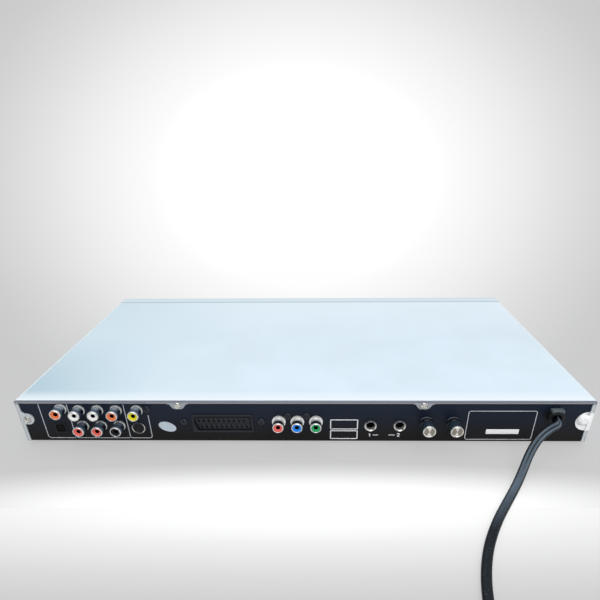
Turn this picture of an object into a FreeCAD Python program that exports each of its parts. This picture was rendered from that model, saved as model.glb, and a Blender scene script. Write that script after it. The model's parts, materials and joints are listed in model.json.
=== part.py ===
import FreeCAD, Part
import math
import os
from types import SimpleNamespace

import Sketcher
from FreeCAD import Rotation, Vector

# A slim DVD player with two microphone inputs, modelled as it comes apart on a bench.
# Millimetres. The front faces -Y, the connectors face +Y, Z is up and the floor is at 0.
# The origin lies under the middle of the player, knobs and buttons included, without its mains cord.
# Heights named "..._up" are counted from the case's bottom edge, the others from the floor.

SIZES = {
    # Casing
    "case_width": 430.0,
    "case_depth": 215.0,
    "case_height": 37.0,
    "foot_height": 4.0,
    "foot_radius": 9.0,
    "foot_from_side": 38.0,
    "foot_from_end": 34.0,
    "sheet": 0.8,
    "pan_sheet": 1.0,
    "sheet_gap": 0.2,
    "pan_side_up": 14.0,
    "case_corner": 2.0,
    "lip_width": 3.0,
    "ear_from_side": 6.2,
    "ear_up": 20.4,
    "ear_radius": 4.8,
    "ear_blend": 3.5,
    "tab_plus_from_side": 122.2,
    "tab_minus_from_side": 125.6,
    "tab_width": 13.2,
    "tab_drop": 4.3,
    "tab_screw_up": 33.0,
    "vent_width": 3.0,
    "vent_length": 26.0,
    "vent_pitch": 8.0,
    "vent_count": 9,
    # Cover and jack screws
    "screw_head": 2.7,
    "screw_head_height": 1.6,
    "screw_shank": 1.4,
    "screw_length": 6.0,
    "screw_clearance": 0.2,
    # Front moulding
    "bezel_depth": 15.0,
    "bezel_face": 2.5,
    "bezel_wall": 2.0,
    "front_reach": 1.2,
    "fascia_width": 134.2,
    "fascia_height": 16.2,
    "fascia_up": 13.8,
    "fascia_thickness": 2.6,
    "moving_gap": 0.4,
    "window_from_side": 79.0,
    "window_up": 20.0,
    "window_width": 92.0,
    "window_height": 17.0,
    "window_thickness": 2.0,
    "button_width": 15.0,
    "button_height": 6.0,
    "button_travel": 0.8,
    "power_button_from_side": 25.0,
    "open_button_from_tray": 26.9,
    "play_button_from_side": 21.0,
    "button_up": 22.0,
    "button_spacing": 12.0,
    # Connectors on the rear panel
    "phono_radius": 4.15,
    "phono_reach": 9.0,
    "phono_wall": 0.7,
    "phono_flange": 4.4,
    "phono_flange_height": 0.8,
    "phono_pin": 1.6,
    "phono_pitch": 14.0,
    "panel_hole_gap": 0.25,
    "coax_from_side": 33.5,
    "coax_up": 29.5,
    "audio_from_side": 61.0,
    "audio_upper_up": 28.2,
    "video_from_side": 90.7,
    "svideo_from_side": 89.3,
    "svideo_up": 12.3,
    "svideo_radius": 5.25,
    "component_x": 4.2,
    "component_up": 18.1,
    "component_flange": 5.3,
    "optical_from_side": 29.2,
    "optical_up": 11.9,
    "optical_size": 9.0,
    "jack_block_depth": 14.0,
    "block_margin": 6.0,
    "jack_screw_up": 23.35,
    "video_screw_from_side": 98.4,
    "video_screw_up": 29.4,
    "scart_x": 60.7,
    "scart_up": 16.4,
    "scart_width": 45.4,
    "scart_height": 15.0,
    "scart_wall": 1.9,
    "scart_chamfer": 5.0,
    "scart_reach": 1.2,
    "scart_depth": 15.0,
    "scart_screw_spacing": 58.6,
    "scart_screw_up": 18.3,
    # Microphone inputs and their level knobs
    "mic_x": 61.85,
    "mic_spacing": 21.9,
    "mic_up": 15.2,
    "mic_bore": 3.25,
    "mic_depth": 26.0,
    "ferrule_radius": 4.5,
    "ferrule_reach": 2.4,
    "ferrule_neck": 3.9,
    "knob_x": 102.5,
    "knob_spacing": 20.0,
    "knob_up": 17.9,
    "knob_radius": 4.75,
    "knob_base_radius": 5.1,
    "rear_reach": 12.0,
    "knob_cap_height": 1.3,
    "knob_shaft": 3.0,
    "shaft_fit": 0.06,
    # Mains cord
    "bushing_from_side": 28.5,
    "bushing_up": 24.0,
    "bushing_flange": 7.7,
    "bushing_collar": 6.8,
    "bushing_reach": 5.2,
    "bushing_neck": 6.2,
    "cord_diameter": 6.0,
    "cord_gap": 0.3,
    "coil_pitch": 6.6,
    "coil_outer": 42.0,
    "coil_x": -54.0,
    "coil_behind": 191.0,
    "plug_width": 35.3,
    "plug_thickness": 13.6,
    "plug_length": 36.0,
    "plug_pin_length": 19.0,
    "plug_pin_radius": 2.0,
    "plug_pin_spacing": 18.6,
    # Circuit boards
    "board": 1.6,
    "main_board_up": 4.0,
    "mic_board_up": 7.0,
    "power_board_up": 5.0,
    "post_radius": 3.0,
    # Disc loader
    "loader_width": 140.0,
    "loader_wall": 4.0,
    "loader_to_jacks": 7.4,
    "loader_plate_low": 7.0,
    "loader_plate": 2.0,
    "loader_top": 33.3,
    "tray_side_gap": 0.8,
    "tray_rear_gap": 11.4,
    "tray_low": 22.0,
    "tray_height": 7.5,
    "tray_lip": 5.2,
    "tray_lip_height": 2.5,
    "disc_recess_radius": 61.5,
    "small_recess_radius": 41.0,
    "recess_depth": 2.0,
    "spindle_behind_front": 72.0,
    "tray_slot_half": 20.0,
    "deck_half_width": 33.0,
    "deck_low": 13.0,
    "deck_plate": 1.5,
    "deck_front": 16.0,
    "hinge_from_end": 9.0,
    "hinge_height": 15.5,
    "hinge_pin": 1.5,
    "rod_radius": 1.5,
    "rod_x": 24.0,
    "rod_height": 17.5,
    "feed_screw_radius": 1.5,
    "feed_screw_x": 29.6,
    "feed_motor_radius": 3.5,
    "turntable_radius": 15.0,
    "clamper_radius": 15.0,
    "bridge_sheet": 1.8,
    # Tray drive
    "gear_module": 1.0,
    "rack_gear_teeth": 24,
    "big_gear_teeth": 36,
    "pinion_teeth": 12,
    "rack_from_edge": 9.0,
    "gear_behind_front": 36.0,
    "tooth_backlash": 0.35,
    "pulley_radius": 13.0,
    "motor_pulley_radius": 4.0,
    "motor_x": 26.0,
    "belt": 1.6,
}


class Dim:
    """A size that keeps the spreadsheet formula it came from through arithmetic."""

    def __init__(self, number, formula):
        self.number = float(number)
        self.formula = formula

    def __float__(self):
        return self.number

    def joined(self, other, operator, number, swapped=False):
        text = other.formula if isinstance(other, Dim) else repr(float(other))
        first, second = (text, self.formula) if swapped else (self.formula, text)
        return Dim(number, f"({first} {operator} {second})")

    def __add__(self, other):
        return self.joined(other, "+", float(self) + float(other))

    def __radd__(self, other):
        return self.joined(other, "+", float(other) + float(self), swapped=True)

    def __sub__(self, other):
        return self.joined(other, "-", float(self) - float(other))

    def __rsub__(self, other):
        return self.joined(other, "-", float(other) - float(self), swapped=True)

    def __mul__(self, other):
        return self.joined(other, "*", float(self) * float(other))

    def __rmul__(self, other):
        return self.joined(other, "*", float(other) * float(self), swapped=True)

    def __truediv__(self, other):
        return self.joined(other, "/", float(self) / float(other))

    def __pow__(self, power):
        return self.joined(power, "^", float(self) ** power)

    def __neg__(self):
        return Dim(-self.number, f"(0 - {self.formula})")


def bind(item, field, value):
    """Sets a property from a size, with its formula where it has one."""
    if isinstance(value, Dim):
        item.setExpression(field, value.formula)
    else:
        item.setExpression(field, repr(float(value)))


def sizes_sheet():
    sheet = doc.addObject("Spreadsheet::Sheet", "Sizes")
    for row, (name, number) in enumerate(SIZES.items(), 1):
        sheet.set(f"A{row}", name)
        sheet.set(f"B{row}", str(number))
        sheet.setAlias(f"B{row}", name)
    doc.recompute()
    return SimpleNamespace(**{name: Dim(number, f"Sizes.{name}") for name, number in SIZES.items()})


def pin(sketch, geometry, point, x, y):
    """Holds a point of a sketch at x and y from its origin."""
    for kind, value in (("DistanceX", x), ("DistanceY", y)):
        index = sketch.addConstraint(Sketcher.Constraint(kind, -1, 1, geometry, point, float(value)))
        if isinstance(value, Dim):
            sketch.setExpression(f"Constraints[{index}]", value.formula)


def arc_through(start, end, radius):
    """The short arc from start to end; a positive radius has its centre on the left."""
    chord = end - start
    left = Vector(-chord.y, chord.x, 0).normalize() * math.copysign(1.0, radius)
    reach = math.sqrt(max(radius**2 - (chord.Length / 2) ** 2, 0.0))
    centre = (start + end) / 2 + left * reach
    return Part.Arc(start, centre - left * abs(radius), end)


def outline(*corners):
    """A closed outline. A corner is (x, y), or (x, y, radius) where an arc runs from it to the next."""

    def draw(sketch):
        places = [Vector(float(c[0]), float(c[1]), 0) for c in corners]
        first = sketch.GeometryCount
        count = len(corners)
        for i, corner in enumerate(corners):
            start, end = places[i], places[(i + 1) % count]
            if len(corner) == 3:
                sketch.addGeometry(arc_through(start, end, float(corner[2])), False)
            else:
                sketch.addGeometry(Part.LineSegment(start, end), False)
        starts = [1 if len(c) == 2 or float(c[2]) > 0 else 2 for c in corners]
        for i in range(count):
            after = (i + 1) % count
            sketch.addConstraint(
                Sketcher.Constraint("Coincident", first + i, 3 - starts[i], first + after, starts[after])
            )
        for i, corner in enumerate(corners):
            pin(sketch, first + i, starts[i], corner[0], corner[1])
            if len(corner) == 3:
                size = corner[2] if float(corner[2]) > 0 else -corner[2]
                index = sketch.addConstraint(Sketcher.Constraint("Radius", first + i, float(size)))
                if isinstance(size, Dim):
                    sketch.setExpression(f"Constraints[{index}]", size.formula)

    return draw


def rectangle(left, low, right, high):
    return outline((left, low), (right, low), (right, high), (left, high))


def square(place, half):
    x, y = place
    return rectangle(x - half, y - half, x + half, y + half)


def rounded(left, low, right, high, radius):
    """A rectangle with quarter-round corners, drawn anticlockwise."""
    return outline(
        (left + radius, low),
        (right - radius, low, radius),
        (right, low + radius),
        (right, high - radius, radius),
        (right - radius, high),
        (left + radius, high, radius),
        (left, high - radius),
        (left, low + radius, radius),
    )


def circle(x, y, radius):
    def draw(sketch):
        first = sketch.GeometryCount
        centre = Vector(float(x), float(y), 0)
        sketch.addGeometry(Part.Circle(centre, Vector(0, 0, 1), float(radius)), False)
        pin(sketch, first, 3, x, y)
        index = sketch.addConstraint(Sketcher.Constraint("Radius", first, float(radius)))
        if isinstance(radius, Dim):
            sketch.setExpression(f"Constraints[{index}]", radius.formula)

    return draw


def circles(places, radius):
    return [circle(x, y, radius) for x, y in places]


class Piece:
    """One sub-part as a PartDesign body, made of layers between two parallel planes."""

    def __init__(self, name):
        self.body = doc.addObject("PartDesign::Body", name)
        self.body.Label = name
        parts.append(self.body)

    def sketch(self, plane, at, outlines):
        origin = next(f for f in self.body.Origin.OriginFeatures if f.Role == f"{plane}_Plane")
        sketch = self.body.newObject("Sketcher::SketchObject", f"{self.body.Name}_outline")
        sketch.AttachmentSupport = [(origin, "")]
        sketch.MapMode = "FlatFace"
        bind(sketch, "AttachmentOffset.Base.z", -at if plane == "XZ" else at)
        for draw in outlines:
            draw(sketch)
        return sketch

    def pad(self, plane, low, high, *outlines):
        """Adds what the outlines hold between low and high."""
        sketch = self.sketch(plane, high if plane == "XZ" else low, outlines)
        pad = self.body.newObject("PartDesign::Pad", f"{self.body.Name}_pad")
        pad.Profile = sketch
        bind(pad, "Length", high - low)
        return pad

    def cut(self, plane, low, high, *outlines):
        """Takes away what the outlines hold between low and high."""
        before = self.body.Tip
        sketch = self.sketch(plane, low if plane == "XZ" else high, outlines)
        pocket = self.body.newObject("PartDesign::Pocket", f"{self.body.Name}_cut")
        pocket.Profile = sketch
        bind(pocket, "Length", high - low)
        cuts.append((before, pocket))
        return pocket

    def repeat(self, feature, axis, spacing, count):
        """Repeats a pad or cut along one of the body's axes."""
        doc.recompute()
        line = next(f for f in self.body.Origin.OriginFeatures if f.Role == f"{axis}_Axis")
        pattern = self.body.newObject("PartDesign::LinearPattern", f"{self.body.Name}_row")
        pattern.Originals = [feature]
        pattern.Direction = (line, [""])
        bind(pattern, "Length", spacing * (count - 1))
        pattern.Occurrences = int(float(count))
        self.body.Tip = pattern
        return pattern

    def soften(self, kind, size, chosen):
        """A Fillet or Chamfer on the edges that chosen() picks."""
        doc.recompute()
        tip = self.body.Tip
        edges = [f"Edge{i}" for i, edge in enumerate(tip.Shape.Edges, 1) if chosen(edge)]
        if not edges:
            raise ValueError(f"{self.body.Label}: no edge to soften")
        feature = self.body.newObject(f"PartDesign::{kind}", f"{self.body.Name}_{kind.lower()}")
        feature.Base = (tip, edges)
        bind(feature, "Radius" if kind == "Fillet" else "Size", size)
        return feature


def runs_along(edge, axis):
    """Whether an edge is straight and parallel to an axis."""
    if not isinstance(edge.Curve, Part.Line):
        return False
    return abs(edge.Curve.Direction.dot(axis)) > 0.999


def lies_at(edge, axis, value):
    """Whether a whole edge lies in the plane at that value of x, y or z."""
    box = edge.BoundBox
    low, high = getattr(box, f"{axis.upper()}Min"), getattr(box, f"{axis.upper()}Max")
    return abs(low - float(value)) < 0.01 and abs(high - float(value)) < 0.01


def shaped(name, shape):
    """A sub-part whose shape comes from Part's own functions."""
    item = doc.addObject("Part::Feature", name)
    item.Label = name
    item.Shape = shape
    parts.append(item)
    return item


doc = FreeCAD.newDocument("DvdPlayer")
parts = []
cuts = []
s = sizes_sheet()

# Planes and edges that several sub-parts share
half_length = (s.case_depth + s.rear_reach + s.front_reach) / 2
front = s.front_reach - half_length
rear = half_length - s.rear_reach
bottom = s.foot_height
top = s.foot_height + s.case_height
side = s.case_width / 2
panel_out = rear - s.sheet
panel_in = panel_out - s.sheet
pan_top = bottom + s.pan_sheet
pan_front = front + s.bezel_depth
inner_side = side - s.sheet - s.sheet_gap
inner_top = top - s.sheet - s.sheet_gap
main_low = bottom + s.main_board_up
main_top = main_low + s.board
mic_top = bottom + s.mic_board_up + s.board
power_top = bottom + s.power_board_up + s.board
loader_front = front + s.bezel_depth + 1.0
mic_back = panel_in - s.mic_depth - 2.0
loader_rear = mic_back - s.loader_to_jacks
spindle_y = front + s.spindle_behind_front
tray_front = front + s.fascia_thickness
tray_rear = loader_rear - s.tray_rear_gap
tray_half = s.loader_width / 2 - s.loader_wall - s.tray_side_gap - s.tray_lip
rack_line_x = tray_half - s.rack_from_edge
gear_y = front + s.gear_behind_front
hinge_y = loader_rear - s.hinge_from_end
window_x = side - s.window_from_side
coax_x = side - s.coax_from_side
audio_x = side - s.audio_from_side
optical = (side - s.optical_from_side, bottom + s.optical_up)
ear_x = side - s.ear_from_side
tab_plus_x = side - s.tab_plus_from_side
tab_minus_x = s.tab_minus_from_side - side

# The edges of the circuit boards
board_rear = panel_in - 1.0
main_board_right = inner_side - 4.0
main_board_left = s.loader_width / 2 + 8.0
power_board_left = 6.0 - inner_side
power_board_right = -s.loader_width / 2 - 18.0
mic_board_front = loader_rear + 4.0
mic_board_left = -s.knob_x - 27.5
mic_board_right = -s.mic_x + 25.85

# Where the rear connectors and screws stand, as (x, height)
audio_lower_up = s.audio_upper_up - s.phono_pitch
audio_columns = [audio_x + s.phono_pitch, audio_x, audio_x - s.phono_pitch]
upper_row = [(x, bottom + s.audio_upper_up) for x in audio_columns]
lower_row = [(x, bottom + audio_lower_up) for x in audio_columns]
coax = (coax_x, bottom + s.coax_up)
video = (side - s.video_from_side, bottom + s.audio_upper_up)
svideo = (side - s.svideo_from_side, bottom + s.svideo_up)
phonos = [coax, *upper_row, *lower_row, video]
component_z = bottom + s.component_up
components = [(s.component_x + k * s.phono_pitch, component_z) for k in (1, 0, -1)]
mics = [(-s.mic_x + k * s.mic_spacing / 2, bottom + s.mic_up) for k in (1, -1)]
knobs = [(-s.knob_x + k * s.knob_spacing / 2, bottom + s.knob_up) for k in (1, -1)]
bushing = (s.bushing_from_side - side, bottom + s.bushing_up)
scart_screws = [
    (s.scart_x + k * s.scart_screw_spacing / 2, bottom + s.scart_screw_up) for k in (1, -1)
]
component_screws = [
    (s.component_x + k * s.phono_pitch / 2, bottom + s.jack_screw_up) for k in (1, -1)
]
video_screw = (side - s.video_screw_from_side, bottom + s.video_screw_up)
jack_screw_places = [video_screw, *scart_screws, *component_screws]
cover_screw_places = [
    (ear_x, bottom + s.ear_up),
    (-ear_x, bottom + s.ear_up),
    (tab_plus_x, bottom + s.tab_screw_up),
    (tab_minus_x, bottom + s.tab_screw_up),
]
feet = [
    (x, y)
    for x in (s.foot_from_side - side, side - s.foot_from_side)
    for y in (front + s.foot_from_end, rear - s.foot_from_end)
]
screw_hole = s.screw_shank + s.screw_clearance


def chassis_pan():
    """The bottom sheet with upturned sides, vents and the posts that carry the boards."""
    pan = Piece("chassis_pan")
    up = bottom + s.pan_side_up
    inside = inner_side - s.pan_sheet
    pan.pad(
        "XZ",
        pan_front,
        panel_in,
        outline(
            (-inner_side, bottom),
            (inner_side, bottom),
            (inner_side, up),
            (inside, up),
            (inside, pan_top),
            (-inside, pan_top),
            (-inside, up),
            (-inner_side, up),
        ),
    )
    main_right, power_left, inset = main_board_right - 10.0, power_board_left + 10.0, 8.0
    main_posts = [(main_right, rear - 32.0), (main_right, -40.0), (main_board_left + 18.0, -40.0)]
    main_posts.append((20.0, panel_in - 16.0))
    mic_y = mic_board_front + inset
    mic_posts = [(mic_board_right - inset, mic_y), (mic_board_left + inset, mic_y)]
    power_posts = [(x, y) for x in (power_left, power_board_right - inset) for y in (-50.0, 50.0)]
    pan.pad("XY", pan_top, main_low, *circles(main_posts, s.post_radius))
    pan.pad("XY", pan_top, bottom + s.mic_board_up, *circles(mic_posts, s.post_radius))
    pan.pad("XY", pan_top, bottom + s.power_board_up, *circles(power_posts, s.post_radius))
    first_vent = power_board_left + 62.0
    vent = pan.cut(
        "XY",
        bottom,
        pan_top,
        rounded(first_vent, -20.0, first_vent + s.vent_width, s.vent_length - 20.0, s.vent_width * 0.45),
    )
    pan.repeat(vent, "X", s.vent_pitch, s.vent_count)


def rear_panel():
    """The connector panel, cut out for every socket, with a foot turned in over the pan."""
    panel = Piece("rear_panel")
    panel.pad("XZ", panel_in, panel_out, rectangle(-inner_side, bottom, inner_side, inner_top))
    panel.soften(
        "Fillet",
        s.case_corner - s.sheet,
        lambda edge: runs_along(edge, Vector(0, 1, 0)) and lies_at(edge, "z", inner_top),
    )
    foot_half = inner_side - s.pan_sheet - 8.0
    panel.pad("XY", pan_top, pan_top + s.sheet, rectangle(-foot_half, panel_in - 9.0, foot_half, panel_in))
    gap = s.panel_hole_gap
    panel.cut("XZ", panel_in, panel_out, *circles(phonos, s.phono_radius + gap))
    panel.cut("XZ", panel_in, panel_out, *circles(components, s.phono_radius + gap))
    panel.cut("XZ", panel_in, panel_out, circle(*svideo, s.svideo_radius - gap))
    panel.cut("XZ", panel_in, panel_out, scart_outline(gap))
    panel.cut("XZ", panel_in, panel_out, *circles(mics, s.ferrule_neck + gap))
    panel.cut("XZ", panel_in, panel_out, *circles(knobs, s.knob_shaft + s.moving_gap))
    panel.cut("XZ", panel_in, panel_out, circle(*bushing, s.bushing_neck + gap))
    panel.cut("XZ", panel_in, panel_out, *circles(cover_screw_places + jack_screw_places, screw_hole))
    panel.cut("XZ", panel_in, panel_out, square(optical, s.optical_size / 2))


def scart_outline(grow):
    """The D-shaped outline of the scart socket, with its keyed corner, grown all round."""
    z = bottom + s.scart_up
    left = s.scart_x - s.scart_width / 2 - grow
    right = s.scart_x + s.scart_width / 2 + grow
    low = z - s.scart_height / 2 - grow
    high = z + s.scart_height / 2 + grow
    key = s.scart_chamfer + grow / 2
    return outline((left, low), (right, low), (right, high - key * 1.5), (right - key, high), (left, high))


def ear(sign):
    """A round ear for a screw, blended into the lip above it and drawn out to the side wall."""
    x = ear_x * sign
    z = bottom + s.ear_up
    edge = (side - s.sheet * 1.25) * sign
    radius, blend = s.ear_radius, s.ear_blend
    across = blend + s.lip_width - s.ear_from_side
    rise = ((radius + blend) ** 2 - across**2) ** 0.5
    share = radius / (radius + blend)
    return outline(
        (edge, z - radius),
        (edge, z + rise),
        ((side - s.lip_width) * sign, z + rise, blend * -sign),
        (x - across * share * sign, z + rise * share, radius * sign),
        (x - radius * sign, z, radius * sign),
        (x, z - radius),
    )


def tab(x):
    """A tab that hangs from the lip and holds a screw."""
    high = top - s.lip_width + s.sheet / 2
    low = top - s.lip_width - s.tab_drop
    half = s.tab_width / 2
    return outline(
        (x + half, high),
        (x - half, high),
        (x - half * 0.62, low + s.tab_drop * 0.24),
        (x - half * 0.36, low),
        (x + half * 0.36, low),
        (x + half * 0.62, low + s.tab_drop * 0.24),
    )


def top_cover():
    """The wrap-over cover: roof, two sides and the lip that closes over the rear panel."""
    cover = Piece("top_cover")
    inside = side - s.sheet
    under = top - s.sheet
    cover.pad(
        "XZ",
        pan_front,
        rear,
        outline(
            (side, bottom),
            (side, top),
            (-side, top),
            (-side, bottom),
            (-inside, bottom),
            (-inside, under),
            (inside, under),
            (inside, bottom),
        ),
    )
    corners = [(side, top, s.case_corner), (inside, under, s.case_corner - s.sheet)]
    for x, z, radius in corners:
        cover.soften(
            "Fillet",
            radius,
            lambda edge: runs_along(edge, Vector(0, 1, 0))
            and lies_at(edge, "z", z)
            and abs(abs(edge.CenterOfMass.x) - float(x)) < 0.01,
        )
    rim = side - s.sheet * 1.25
    rim_top = top - s.sheet * 1.25
    in_x, in_z = side - s.lip_width, top - s.lip_width
    cover.pad(
        "XZ",
        panel_out,
        rear,
        outline(
            (rim, bottom),
            (rim, rim_top),
            (-rim, rim_top),
            (-rim, bottom),
            (-in_x, bottom),
            (-in_x, in_z),
            (in_x, in_z),
            (in_x, bottom),
        ),
    )
    for draw in (ear(1), ear(-1), tab(tab_plus_x), tab(tab_minus_x)):
        cover.pad("XZ", panel_out, rear, draw)
    cover.cut("XZ", panel_out, rear, *circles(cover_screw_places, screw_hole))
    cover.soften(
        "Fillet",
        s.sheet * 0.8,
        lambda edge: runs_along(edge, Vector(1, 0, 0))
        and lies_at(edge, "y", rear)
        and lies_at(edge, "z", top),
    )


def button_box(x, grow, z):
    """The face outline of a front button, grown by a gap all round."""
    width = s.button_width / 2 + grow
    height = s.button_height / 2 + grow
    return rounded(x - width, z - height, x + width, z + height, s.button_height * 0.3)


def front_buttons():
    """Name, x and height of each front button."""
    z = bottom + s.button_up
    half = s.button_spacing / 2
    right = side - s.play_button_from_side
    return {
        "power_button": (s.power_button_from_side - side, z),
        "open_close_button": (-s.fascia_width / 2 - s.open_button_from_tray, z),
        "play_pause_button": (right, z + half),
        "stop_button": (right, z - half),
    }


def front_bezel():
    """The hollow front moulding, open for the tray, the window and the buttons."""
    bezel = Piece("front_bezel")
    face_back = front + s.bezel_face
    wall = s.bezel_wall
    bezel.pad("XZ", front, pan_front, rectangle(-side, bottom, side, top))
    bezel.soften(
        "Fillet",
        s.case_corner,
        lambda edge: runs_along(edge, Vector(0, 1, 0))
        or (lies_at(edge, "y", front) and runs_along(edge, Vector(1, 0, 0))),
    )
    bezel.cut("XZ", face_back, pan_front, rectangle(wall - side, bottom + wall, side - wall, top - wall))
    half = s.fascia_width / 2 + s.moving_gap
    low = bottom + s.fascia_up - s.moving_gap
    high = bottom + s.fascia_up + s.fascia_height + s.moving_gap
    bezel.cut("XZ", front, face_back, rectangle(-half, low, half, high))
    window_z = bottom + s.window_up
    wide, tall = s.window_width / 2, s.window_height / 2
    seat = 2.0
    bezel.cut(
        "XZ",
        front,
        front + s.window_thickness,
        rectangle(window_x - wide, window_z - tall, window_x + wide, window_z + tall),
    )
    bezel.cut(
        "XZ",
        front + s.window_thickness,
        face_back,
        rectangle(
            window_x - wide + seat, window_z - tall + seat, window_x + wide - seat, window_z + tall - seat
        ),
    )
    for x, z in front_buttons().values():
        bezel.cut("XZ", front, face_back, button_box(x, s.moving_gap, z))
    board_posts = [(x, bottom + 8.0) for x in (window_x - 48.0, window_x + 48.0)]
    board_posts += [(39.0 - side, bottom + 10.0), (-s.fascia_width / 2 - 16.9, bottom + 29.0)]
    bezel.pad("XZ", face_back, front + 12.0, *circles(board_posts, s.post_radius))
    tongue_top = inner_top - 0.1
    tongue_low = tongue_top - 1.6
    bezel.pad("XZ", pan_front - 3.0, pan_front + 5.0, rectangle(100.0, tongue_low, 190.0, tongue_top))
    bezel.pad("XZ", pan_front - 3.0, pan_front + 5.0, rectangle(-190.0, tongue_low, -100.0, tongue_top))
    hook_top = pan_top + 2.0
    for x in (-150.0, 0.0, 150.0):
        bezel.pad("XZ", pan_front - 3.0, pan_front + 7.0, rectangle(x - 9.0, pan_top, x + 9.0, hook_top))


def display_window():
    window = Piece("display_window")
    z = bottom + s.window_up
    wide, tall = s.window_width / 2 - 0.1, s.window_height / 2 - 0.1
    window.pad(
        "XZ",
        front + 0.4,
        front + s.window_thickness,
        rectangle(window_x - wide, z - tall, window_x + wide, z + tall),
    )


def rubber_feet():
    rubber = Piece("rubber_feet")
    rubber.pad("XY", s.foot_height - s.foot_height, bottom, *circles(feet, s.foot_radius))
    rubber.cut("XY", s.foot_height - s.foot_height, bottom * 0.3, *circles(feet, s.foot_radius * 0.5))
    rubber.soften(
        "Chamfer",
        0.8,
        lambda edge: lies_at(edge, "z", 0.0) and edge.Curve.Radius > float(s.foot_radius) - 0.1,
    )


def screws(name, places, seat):
    """Pan-head screws driven in from the rear, heads standing on the plane at seat."""
    group = Piece(name)
    group.pad("XZ", seat - s.screw_length, seat, *circles(places, s.screw_shank))
    group.pad("XZ", seat, seat + s.screw_head_height, *circles(places, s.screw_head))
    group.soften(
        "Chamfer",
        s.screw_head_height * 0.45,
        lambda edge: lies_at(edge, "y", seat + s.screw_head_height),
    )


def phono_shell_group(name, places, flange):
    """Nickel barrels with their flanges, and the hollow contact in the middle of each."""
    group = Piece(name)
    reach = panel_out + s.phono_reach
    group.pad("XZ", panel_in, reach, *circles(places, s.phono_radius))
    group.pad("XZ", panel_out, panel_out + s.phono_flange_height, *circles(places, flange))
    group.cut("XZ", panel_in, reach, *circles(places, s.phono_radius - s.phono_wall))
    group.pad("XZ", panel_in, reach - 1.2, *circles(places, s.phono_pin + 0.5))
    group.cut("XZ", panel_in, reach - 1.2, *circles(places, s.phono_pin))


def phono_inserts(name, places):
    """Coloured sleeves between barrel and centre contact."""
    group = Piece(name)
    reach = panel_out + s.phono_reach - 0.5
    group.pad("XZ", panel_in, reach, *circles(places, s.phono_radius - s.phono_wall))
    group.cut("XZ", panel_in, reach, *circles(places, s.phono_pin + 0.5))


def block_around(places, margin):
    """The rectangle round some sockets, down to the board they are soldered to."""
    xs = [x for x, _ in places]
    left, right = min(xs, key=float), max(xs, key=float)
    high = max((z for _, z in places), key=float)
    return rectangle(left - margin, main_top, right + margin, high + margin)


def jack_blocks():
    """Black mouldings behind the panel that hold the phono, optical and S-video sockets."""
    blocks = Piece("jack_blocks")
    back = panel_in - s.jack_block_depth
    margin = s.block_margin
    blocks.pad("XZ", back, panel_in, block_around([coax, optical], margin))
    mouth = s.optical_size / 2 - s.panel_hole_gap
    blocks.pad("XZ", panel_in, panel_out, square(optical, mouth))
    blocks.cut("XZ", panel_out - 0.6, panel_out, square(optical, mouth - 0.9))
    blocks.pad("XZ", back, panel_in, block_around(upper_row + lower_row, margin - 0.3))
    blocks.pad("XZ", back, panel_in, block_around([video, svideo], margin))
    blocks.pad("XZ", back, panel_in, block_around(components, margin))
    black = lower_row[2]
    blocks.pad("XZ", panel_in, panel_out + s.phono_reach - 0.5, circle(*black, s.phono_radius - s.phono_wall))
    blocks.cut("XZ", panel_in, panel_out + s.phono_reach - 0.5, circle(*black, s.phono_pin + 0.5))
    core = s.svideo_radius - 2 * s.panel_hole_gap
    blocks.pad("XZ", panel_in, panel_out, circle(*svideo, core))
    pins = [(svideo[0] + x, svideo[1] + z) for x, z in ((-1.7, 1.2), (1.7, 1.2), (-2.6, -1.6), (2.6, -1.6))]
    blocks.cut("XZ", panel_out - 4.0, panel_out, *circles(pins, 0.5))
    holes = [*component_screws, video_screw]
    blocks.cut("XZ", panel_out - s.screw_length - 0.5, panel_in, *circles(holes, s.screw_shank))


def svideo_ring():
    ring = Piece("svideo_ring")
    ring.pad("XZ", panel_out, panel_out + 0.9, circle(*svideo, s.svideo_radius))
    ring.cut("XZ", panel_out, panel_out + 0.9, circle(*svideo, s.svideo_radius - 0.9))


def scart_socket():
    """The 21-way socket: a keyed shroud, a narrow moat and the core with two rows of slots."""
    socket = Piece("scart_socket")
    back = panel_in - s.scart_depth
    mouth = panel_out + s.scart_reach
    z = bottom + s.scart_up
    socket.pad("XZ", back, mouth, scart_outline(0.0))
    socket.cut("XZ", back + 4.0, mouth, scart_outline(-s.scart_wall))
    socket.pad("XZ", back + 3.0, mouth - 0.6, scart_outline(-s.scart_wall * 1.8))
    half = s.scart_screw_spacing / 2 + 5.0
    socket.pad("XZ", back + 4.0, panel_in, rectangle(s.scart_x - half, z - 5.0, s.scart_x + half, z + 5.0))
    moat = [scart_outline(-s.scart_wall)]
    socket.cut("XZ", panel_in - 8.0, panel_in, *moat)
    socket.pad("XZ", back + 3.0, mouth - 0.6, scart_outline(-s.scart_wall * 1.8))
    slot_width, slot_height, slot_pitch = 1.1, 3.0, 3.81
    first_x = s.scart_x - slot_pitch * 4.5
    for x, low in ((first_x - slot_pitch / 4, z + 0.8), (first_x + slot_pitch / 4, z - 0.8 - slot_height)):
        slot = socket.cut(
            "XZ",
            mouth - 6.0,
            mouth - 0.6,
            rectangle(x - slot_width / 2, low, x + slot_width / 2, low + slot_height),
        )
        socket.repeat(slot, "X", slot_pitch, 10)
    socket.cut("XZ", panel_out - s.screw_length - 0.5, panel_in, *circles(scart_screws, s.screw_shank))
    pins_low = main_top
    socket.pad(
        "XZ",
        back,
        back + 4.0,
        rectangle(s.scart_x - s.scart_width / 2, pins_low, s.scart_x + s.scart_width / 2, z),
    )


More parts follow.
